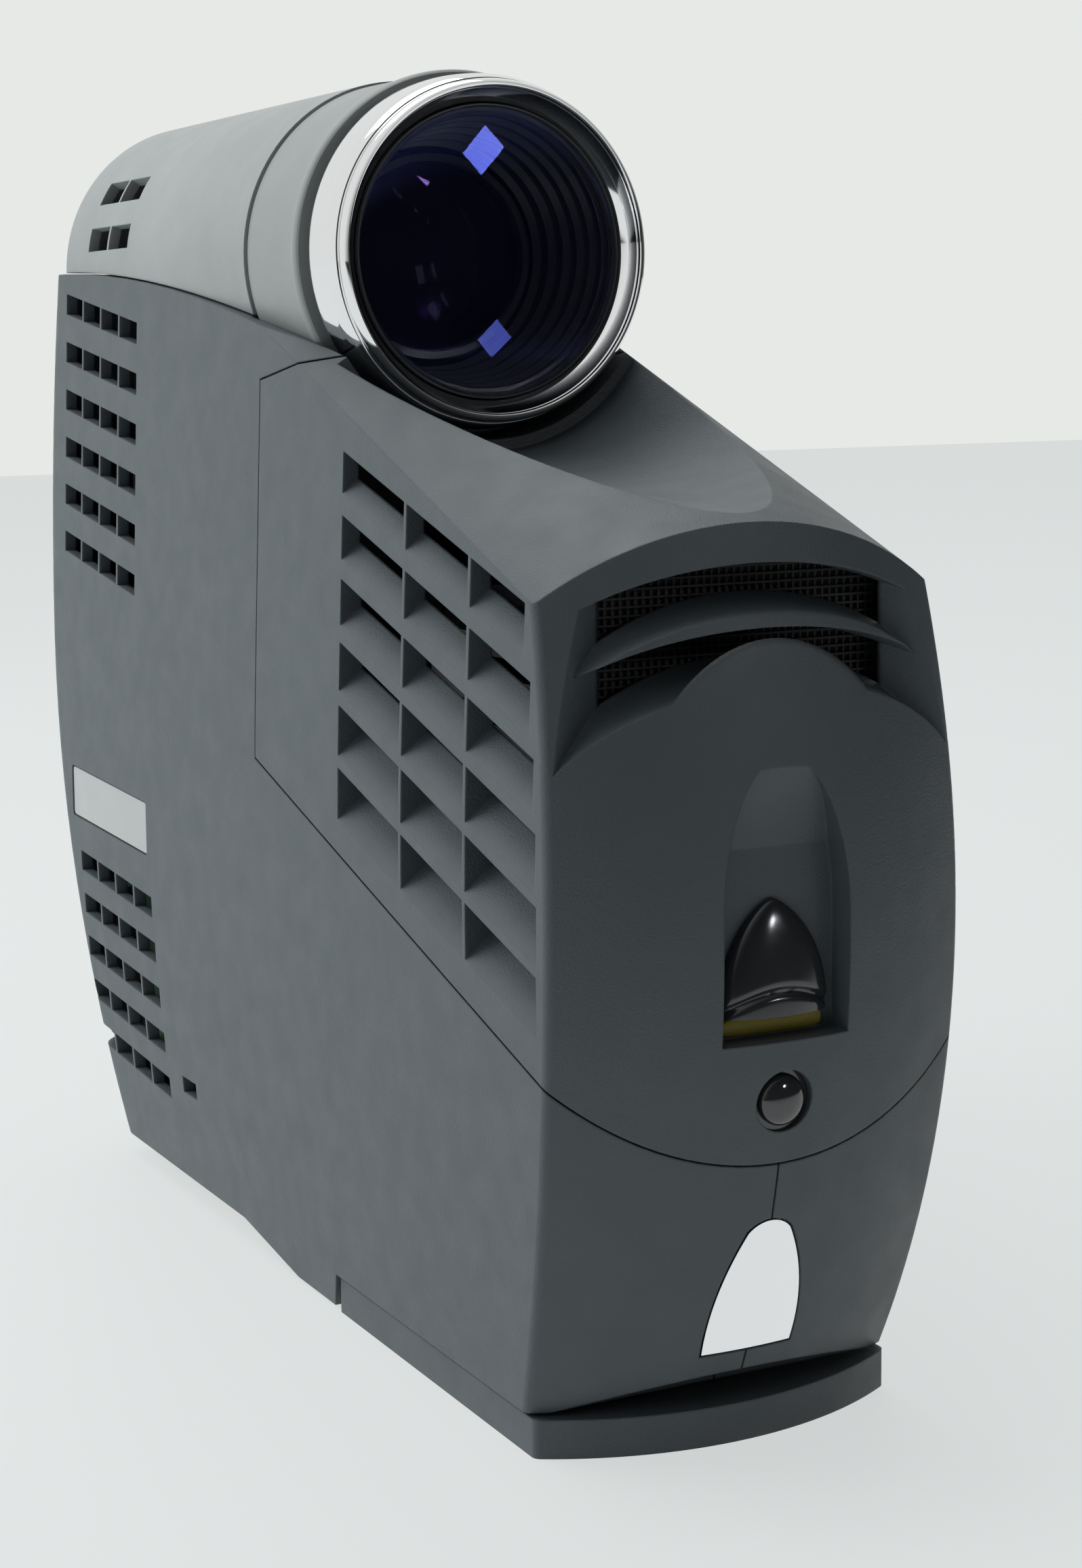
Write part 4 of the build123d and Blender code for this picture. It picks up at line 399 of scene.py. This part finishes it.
def add_floor():
    """A pale floor that keeps the object's shadow."""
    mesh = bpy.data.meshes.new("floor")
    corners = ((-1, -1), (1, -1), (1, 1), (-1, 1))
    mesh.from_pydata([(x * FLOOR_HALF, y * FLOOR_HALF, 0) for x, y in corners], [], [(0, 1, 2, 3)])
    floor = bpy.data.objects.new("floor", mesh)
    bpy.context.scene.collection.objects.link(floor)
    material, tree, shader = new_material("pale_floor")
    shader.inputs["Base Color"].default_value = FLOOR_COLOUR
    shader.inputs["Roughness"].default_value = FLOOR_ROUGHNESS
    glow = tree.nodes.new("ShaderNodeEmission")
    glow.inputs["Color"].default_value = FLOOR_WHITE
    near = smooth_ramp(tree, axes_of(tree, "Object")["Y"], *FLOOR_FADE, FLOOR_DARKEST)
    path = tree.nodes.new("ShaderNodeLightPath")
    level = link_math(tree, "MAXIMUM", near, path.outputs["Is Camera Ray"])
    tree.links.new(level, glow.inputs["Strength"])
    share = seen_share(tree, FLOOR_GLOW, 1.0)
    mix = mix_shaders(tree, share, shader.outputs["BSDF"], glow.outputs[0])
    output = next(node for node in tree.nodes if node.type == "OUTPUT_MATERIAL")
    tree.links.new(mix, output.inputs["Surface"])
    mesh.materials.append(material)


def add_lamp(name, place, target, size, power, colour):
    """A soft lamp that faces a point."""
    data = bpy.data.lights.new(name, "AREA")
    data.shape = "RECTANGLE"
    data.size, data.size_y = size
    data.energy = power
    data.color = colour
    lamp = bpy.data.objects.new(name, data)
    bpy.context.scene.collection.objects.link(lamp)
    lamp.location = place
    lamp.rotation_euler = (Vector(target) - Vector(place)).to_track_quat("-Z", "Y").to_euler()
    lamp.visible_camera = False
    return lamp


bpy.context.scene.view_settings.view_transform = "Standard"
add_world()
add_floor()
key = add_lamp(
    "key",
    place=(-0.62, 0.52, 0.5),
    target=MIDDLE,
    size=(0.6, 0.5),
    power=4.6,
    colour=(0.96, 1.0, 0.99),
)
key.visible_glossy = False
add_lamp("top", place=(-0.1, 0.5, 1.7), target=MIDDLE, size=(1.3, 1.0), power=12, colour=(1, 1, 1))
spark = add_lamp(
    "spark",
    place=(0.66, -1.38, 0.67),
    target=(0, -0.03, LENS_Z),
    size=(0.19, 0.13),
    power=2.2,
    colour=(0.95, 0.97, 1.0),
)
spark.rotation_euler.rotate_axis("Z", SPARK_TURN)
spark.visible_diffuse = False


# ---------------------------------------------------------------- shape helpers
MERGE = 0.002 * MM
SMOOTH_ANGLE = 35.0


def to_object(name, verts, faces, body, slot, smooth_angle=SMOOTH_ANGLE, material=None):
    """Links a mesh, turns its faces outward, smooths it below an angle and seats it on a body."""
    mesh = bpy.data.meshes.new(name)
    mesh.from_pydata([tuple(v) for v in verts], [], faces)
    work = bmesh.new()
    work.from_mesh(mesh)
    bmesh.ops.remove_doubles(work, verts=work.verts, dist=MERGE)
    bmesh.ops.recalc_face_normals(work, faces=work.faces)
    for face in work.faces:
        face.smooth = True
    work.to_mesh(mesh)
    work.free()
    mesh.set_sharp_from_angle(angle=radians(smooth_angle))
    piece = bpy.data.objects.new(name, mesh)
    bpy.context.scene.collection.objects.link(piece)
    mesh.materials.append(material or MATERIALS[slot])
    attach(piece, body)
    return piece


def turned_point(d, radius, turn, steps, axis_z):
    """The point at this turn out of steps about a line along Y, from mm behind and mm radius."""
    angle = 2 * pi * turn / steps
    return radius * MM * sin(angle), behind(d), axis_z + radius * MM * cos(angle)


def lathe(name, profile, body, slot, steps=192, material=None):
    """Turns a closed profile of (mm behind the face, mm radius) about the lens axis."""
    turns = range(steps)
    verts = [turned_point(*point, turn, steps, LENS_Z) for turn in turns for point in profile]
    count = len(profile)
    faces = []
    for turn in turns:
        here, there = turn * count, (turn + 1) % steps * count
        for i in range(count):
            j = (i + 1) % count
            faces.append((here + i, there + i, there + j, here + j))
    return to_object(name, verts, faces, body, slot, material=material)


def turned_solid(name, profile, body, slot, axis_z=LENS_Z, steps=96, material=None):
    """Turns an open profile, from axis to axis, about a line along Y."""
    rings = profile[1:-1]
    verts = [(0, behind(profile[0][0]), axis_z)]
    verts += [turned_point(*point, turn, steps, axis_z) for point in rings for turn in range(steps)]
    verts.append((0, behind(profile[-1][0]), axis_z))
    last_ring = 1 + (len(rings) - 1) * steps
    faces = []
    for turn in range(steps):
        following = (turn + 1) % steps
        faces.append((0, 1 + following, 1 + turn))
        for a in range(1, last_ring, steps):
            b = a + steps
            faces.append((a + turn, a + following, b + following, b + turn))
        faces.append((last_ring + turn, last_ring + following, len(verts) - 1))
    return to_object(name, verts, faces, body, slot, material=material)


def bowed(start, end, bulge, count):
    """Points from start towards end on a bowed line; bulge is its rise to the left of the way."""
    (x0, y0), (x1, y1) = start, end
    dx, dy = x1 - x0, y1 - y0
    chord = sqrt(dx**2 + dy**2)
    points = [start]
    for i in range(1, count):
        t = i / count
        height = 4 * bulge * t * (1 - t)
        points.append((x0 + dx * t - dy / chord * height, y0 + dy * t + dx / chord * height))
    return points


def crowned(share, square, fall):
    """A crown that is 1 at a share of 0 and 0 at 1: square keeps it full, fall rounds its end."""
    return (1 - share**square) ** fall if share < 1 else 0.0


def block(verts, faces, low, high):
    """Adds a plain block, given as corners in mm, to a mesh under construction."""
    first = len(verts)
    for x in (low[0], high[0]):
        for d in (low[1], high[1]):
            for z in (low[2], high[2]):
                verts.append((x * MM, behind(d), z * MM))
    sides = ((0, 1, 3, 2), (4, 6, 7, 5), (0, 4, 5, 1), (2, 3, 7, 6), (0, 2, 6, 4), (1, 5, 7, 3))
    for side in sides:
        faces.append(tuple(first + i for i in side))


# ---------------------------------------------------------------- polished focus bezel
RING_STEPS = 256
BEZEL_REAR = 97.3
BEZEL_INNER = 24.2
BEZEL_BAND = 27.75
BEZEL_ROUND = 0.35
BEZEL_ROUND_ANGLES = (0.5, 1.0, 1.57)
# Start, end, rise and number of points of each bowed line: the tapered band, its shoulder, the
# groove, the round bead, the bead's inner side in two, and the throat.
BEZEL_LINES = (
    ((96.0, 28.08), (91.6, 27.82), -0.05, 6),
    ((91.6, 27.82), (88.6, 27.0), -0.22, 14),
    ((88.6, 27.0), (88.2, 26.7), 0.14, 6),
    ((88.2, 26.7), (86.15, 25.95), -0.36, 14),
    ((86.15, 25.95), (86.75, 25.42), -0.14, 8),
    ((86.75, 25.42), (87.0, 25.3), 0.05, 5),
    ((87.0, 25.3), (90.1, 23.3), 0.16, 16),
)
BEZEL_SEAT = [(90.3, 23.26), (93.1, 23.26), (93.2, BEZEL_INNER)]


def add_bezel():
    """The bright ring: a slightly tapered band, a groove, a round bead and a hollow throat."""
    profile = [(BEZEL_REAR, BEZEL_INNER), (BEZEL_REAR, BEZEL_BAND)]
    for angle in BEZEL_ROUND_ANGLES:
        rounded = BEZEL_REAR - BEZEL_ROUND + BEZEL_ROUND * cos(angle)
        profile.append((rounded, BEZEL_BAND + BEZEL_ROUND * sin(angle)))
    for line in BEZEL_LINES:
        profile += bowed(*line)
    profile += BEZEL_SEAT
    trim = lathe("bezel_trim", profile, "focus_bezel", "bright_chrome", steps=RING_STEPS)
    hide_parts("focus_bezel")


# ---------------------------------------------------------------- zoom ring
ZOOM_INNER = 26.95
ZOOM_REAR = [(121.7, ZOOM_INNER), (121.7, 28.55), (121.5, 28.75)]
# The band, the rise to the lip, and the lip.
ZOOM_LINES = (
    ((121.3, 28.8), (103.2, 28.8), 0.0, 8),
    ((102.6, 28.82), (101.6, 29.12), 0.08, 6),
    ((101.6, 29.12), (99.7, 28.9), -0.2, 12),
)
ZOOM_FRONT = [(99.6, 28.7), (99.6, ZOOM_INNER)]


def add_zoom_ring():
    """The grey ring with a soft raised lip in front and a fine line at its rear."""
    profile = list(ZOOM_REAR)
    for line in ZOOM_LINES:
        profile += bowed(*line)
    profile += ZOOM_FRONT
    sleeve = lathe("zoom_sleeve", profile, "zoom_ring", "ring_grey", steps=RING_STEPS)
    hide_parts("zoom_ring")


# ---------------------------------------------------------------- front cell: rim, ribs and glass
# The ribs' black is set lighter than the plain black plastic: painted light, standing in for the
# light that hardly reaches inside the lens.
LIT_RIB_BLACK = surface("rib_black_painted_light", (0.05, 0.053, 0.06), 0.36, mottle=0.1, specular=0.45)
# The inner element's near-black body is painted shade for the dark depth of the lens; its coloured
# reflection is the coating's own.
SHADED_INNER_GLASS = coated("inner_glass_painted_shade", (0.05, 0.045, 0.075), (0.30, 0.16, 0.55), 0.6)

CELL_RIM = [(91.6, 23.05), (89.6, 23.05), (89.4, 22.95), (89.4, 22.75), (89.7, 22.65)]
CELL_THROAT = [(91.7, 22.6), (92.6, 21.9), (92.6, 21.2)]
CELL_STEPS = 224
CELL_OUTER = 21.92
CELL_BORE = 14.4
CELL_START = 91.8

RIB_COUNT = 6
RIB_WIDE = 20.9
RIB_DROP = 1.15
RIB_START = 92.7
RIB_END = 112.0
# A rib's section: its front as (mm past its start, mm past its radius), and its rear with the
# first as a share of the pitch.
RIB_FRONT = ((0.03, 0.25), (0.12, 0.07), (0.3, 0.0))
RIB_REAR = ((0.93, 0.06), (0.97, -0.2))

KEEPER = [(111.9, 14.3), (108.2, 14.3), (108.2, 13.3), (109.0, 12.9), (111.9, 12.9)]
ELEMENT_ROWS = 24
ELEMENT_STEPS = 128


def element(name, front, rim, rear, radius, material, node=None):
    """A lens element: faces that bulge to front and rear, and a straight rim between."""
    points = [(front, 0)]
    for i in range(1, ELEMENT_ROWS + 1):
        bulge = (rim[0] - front) * (i / ELEMENT_ROWS) ** 2
        points.append((front + bulge, radius * i / ELEMENT_ROWS))
    for i in range(ELEMENT_ROWS, 0, -1):
        bulge = (rear - rim[1]) * (i / ELEMENT_ROWS) ** 2
        points.append((rear - bulge, radius * i / ELEMENT_ROWS))
    points.append((rear, 0))
    piece = turned_solid(
        name, points, "lens_cell", "coated_glass", steps=ELEMENT_STEPS, material=material
    )
    if node:
        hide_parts(node)


def add_front_cell():
    """Satin black rim and stepped ribs behind the front glass, their black lightened as painted
    light, and the coated elements, the inner one darkened as painted shade.
    """
    profile = CELL_RIM + CELL_THROAT
    pitch = (RIB_END - RIB_START) / RIB_COUNT
    for rib in range(RIB_COUNT):
        begin = RIB_START + rib * pitch
        radius = RIB_WIDE - rib * RIB_DROP
        profile += [(begin + past, radius + rise) for past, rise in RIB_FRONT]
        profile += [(begin + pitch * share, radius + rise) for share, rise in RIB_REAR]
    profile += [(RIB_END, CELL_BORE), (RIB_END, CELL_OUTER), (CELL_START, CELL_OUTER)]
    ribs = lathe(
        "lens_ribs", profile, "lens_cell", "black_plastic", steps=CELL_STEPS, material=LIT_RIB_BLACK
    )
    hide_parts("baffle_ring")
    element(
        "front_element",
        front=87.7,
        rim=(89.9, 91.6),
        rear=92.9,
        radius=22.55,
        material=MATERIALS["coated_glass"],
        node="front_lens",
    )
    lathe("element_keeper", KEEPER, "lens_cell", "black_plastic", material=LIT_RIB_BLACK)
    element(
        "second_element",
        front=107.6,
        rim=(109.6, 110.4),
        rear=110.6,
        radius=12.85,
        material=SHADED_INNER_GLASS,
    )


# ---------------------------------------------------------------- cover latch
LATCH_LOW = 64.9
LATCH_HEIGHT = 16.0
LATCH_HALF = 8.5
LATCH_BASE = 5.2
LATCH_FRONT = 1.6
LATCH_RISE = LATCH_BASE - LATCH_FRONT
LATCH_THINNEST = 0.02
LATCH_SMOOTH_ANGLE = 50.0
LATCH_MESH = (64, 48)
# How full and how round the shield is: its outline, its height's run upward, and its width.
LATCH_OUTLINE = (2.3, 0.72)
LATCH_CREST = (1.9, 0.62)
LATCH_CROSS = (2.4, 0.6)
LATCH_SIDE_SHARE = 0.2
# The arched finger groove: its height at the sides, its arch, its depth and half width, and the
# step down below it.
GROOVE_LOW = 0.9
GROOVE_ARCH = 2.6
GROOVE_DEEP = 0.75
GROOVE_HALF = 0.62
GROOVE_STEP = 0.18
# Corners of the stem that passes the pad, and of the keeper behind it.
LATCH_STEM = ((-2.0, LATCH_BASE - 0.2, 69.0), (2.0, 8.4, 74.0))
LATCH_KEEPER = ((-4.5, 8.3, 68.0), (4.5, 9.8, 75.0))


def latch_rise(t, s):
    """How far the domed shield stands off its base, with an arched finger groove near its foot."""
    crest = LATCH_RISE * crowned(t, *LATCH_CREST)
    cross = crowned(abs(s), *LATCH_CROSS)
    rise = crest * (LATCH_SIDE_SHARE + (1 - LATCH_SIDE_SHARE) * cross)
    away = t * LATCH_HEIGHT - (GROOVE_LOW + GROOVE_ARCH * (1 - s * s))
    share = crest / LATCH_RISE
    rise -= GROOVE_DEEP * share * exp(-((away / GROOVE_HALF) ** 2))
    if away < 0:
        rise -= GROOVE_STEP * share
    return max(rise, LATCH_THINNEST)


def add_latch():
    """The domed shield, with its stem and keeper behind the pad."""
    rows, columns = LATCH_MESH
    verts, faces = [], []
    for row in range(rows + 1):
        t = row / rows
        half_width = LATCH_HALF * crowned(t, *LATCH_OUTLINE)
        for column in range(columns + 1):
            s = -cos(pi * column / columns)
            d = LATCH_BASE - latch_rise(t, s)
            verts.append((s * half_width * MM, behind(d), (LATCH_LOW + t * LATCH_HEIGHT) * MM))
    wide = columns + 1
    for row in range(rows):
        for column in range(columns):
            a = row * wide + column
            faces.append((a, a + 1, a + wide + 1, a + wide))
    outline = list(range(wide)) + [(row + 1) * wide - 1 for row in range(1, rows + 1)]
    outline += [row * wide for row in range(rows - 1, 0, -1)]
    first = len(verts)
    for index in outline:
        x, _, z = verts[index]
        verts.append((x, behind(LATCH_BASE), z))
    count = len(outline)
    for i in range(count):
        j = (i + 1) % count
        faces.append((outline[i], outline[j], first + j, first + i))
    faces.append(tuple(range(first + count - 1, first - 1, -1)))
    block(verts, faces, *LATCH_STEM)
    block(verts, faces, *LATCH_KEEPER)
    shield = to_object(
        "latch_shield", verts, faces, "cover_latch", "smoked_chrome", LATCH_SMOOTH_ANGLE
    )
    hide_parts("cover_latch")


# ---------------------------------------------------------------- strip under the latch
STRIP_TAPER = 0.35
STRIP_ENDS = (8, 0.5)
STRIP_EDGE = 0.25
STRIP_CROWN = 0.6
STRIP_SMOOTH_ANGLE = 40.0
STRIP_MESH = (24, 12)


def add_strip():
    """The crowned yellow strip under the latch."""
    low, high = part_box("latch_strip")
    middle_z, half_z = (low[2] + high[2]) / 2, (high[2] - low[2]) / 2
    half_x, rear, thick = high[0], high[1], high[1] - low[1]
    lengths, around = STRIP_MESH
    verts, faces = [], []
    for i in range(lengths + 1):
        share = -1 + 2 * i / lengths
        narrow = STRIP_TAPER * crowned(abs(share), *STRIP_ENDS) + 1 - STRIP_TAPER
        for k in range(around + 1):
            angle = pi * k / around
            rise = thick * (STRIP_EDGE + (1 - STRIP_EDGE) * sin(angle) ** STRIP_CROWN)
            verts.append((share * half_x, rear - rise, middle_z - cos(angle) * half_z * narrow))
        verts.append((share * half_x, rear, middle_z + half_z * narrow))
        verts.append((share * half_x, rear, middle_z - half_z * narrow))
    ring = around + 3
    for i in range(lengths):
        for k in range(ring):
            a, b = i * ring + k, i * ring + (k + 1) % ring
            faces.append((a, b, b + ring, a + ring))
    faces.append(tuple(range(ring)))
    faces.append(tuple(range(lengths * ring + ring - 1, lengths * ring - 1, -1)))
    cap = to_object("strip_cap", verts, faces, "front_cover", "yellow_plastic", STRIP_SMOOTH_ANGLE)
    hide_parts("latch_strip")


# ---------------------------------------------------------------- small round window
WINDOW_RIM = 0.8
WINDOW_STEPS = 64
DOME_RADIUS = 3.7
DOME_LIP = 0.25
DOME_RISE = 1.9
DOME_ROWS = 16


def add_window():
    """The small glossy dome in its round hole."""
    low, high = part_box("ir_window")
    axis_z = (low[2] + high[2]) / 2
    base = (high[1] - FRONT_Y) / MM
    rim, edge = base - WINDOW_RIM, (high[2] - axis_z) / MM
    profile = [(base, 0), (base, edge), (rim, edge), (rim, DOME_RADIUS)]
    for i in range(1, DOME_ROWS):
        angle = pi / 2 * i / DOME_ROWS
        profile.append((rim - DOME_LIP - DOME_RISE * sin(angle), DOME_RADIUS * cos(angle)))
    profile.append((rim - DOME_LIP - DOME_RISE, 0))
    dome = turned_solid(
        "window_dome", profile, "front_cover", "clear_dome", axis_z=axis_z, steps=WINDOW_STEPS
    )
    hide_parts("ir_window")


# ---------------------------------------------------------------- screen behind the arched slots, on a black backing that is painted shade
SCREEN_HALF = 25.0
SCREEN_LOW = 104.0
SCREEN_HIGH = 128.6
SCREEN_AT = 15.2
SCREEN_WIRE = 0.3
SCREEN_PITCH = 1.2
SCREEN_ARCH = 0.0085
SCREEN_TOP_GAP = 0.5
SCREEN_SMOOTH_ANGLE = 30.0
# Depth of the black backing (a dark sheet that is painted shade inside the slots), the upright
# wires and the level wires, from and to.
SHADE_BACKING_AT = (SCREEN_AT + 0.9, SCREEN_AT + 1.3)
UPRIGHT_AT = (SCREEN_AT + 0.3, SCREEN_AT + 0.6)
LEVEL_AT = (SCREEN_AT, SCREEN_AT + 0.3)


def add_screen_and_shade_backing():
    """A dark woven screen behind the arched slots, on a black backing sheet that is painted shade,
    held in the cover, with an arched upper edge.
    """
    verts, faces = [], []
    x = -SCREEN_HALF
    while x < SCREEN_HALF:
        top = SCREEN_HIGH - SCREEN_ARCH * max(abs(x), abs(x + SCREEN_PITCH)) ** 2
        # The wide blocks are a black sheet of painted shade behind the slots; the narrow ones are
        # the upright wires.
        for (near, far), width in ((SHADE_BACKING_AT, SCREEN_PITCH), (UPRIGHT_AT, SCREEN_WIRE)):
            block(verts, faces, (x, near, SCREEN_LOW), (x + width, far, top))
        x += SCREEN_PITCH
    z = SCREEN_LOW
    while z < SCREEN_HIGH - SCREEN_TOP_GAP:
        half = min(SCREEN_HALF, sqrt((SCREEN_HIGH - z - SCREEN_WIRE) / SCREEN_ARCH))
        block(verts, faces, (-half, LEVEL_AT[0], z), (half, LEVEL_AT[1], z + SCREEN_WIRE))
        z += SCREEN_PITCH
    to_object("slot_screen_and_shade_backing", verts, faces, "front_cover", "black_plastic", SCREEN_SMOOTH_ANGLE)


# ---------------------------------------------------------------- the pieces
add_bezel()
add_zoom_ring()
add_front_cell()
add_latch()
add_strip()
add_window()
add_screen_and_shade_backing()
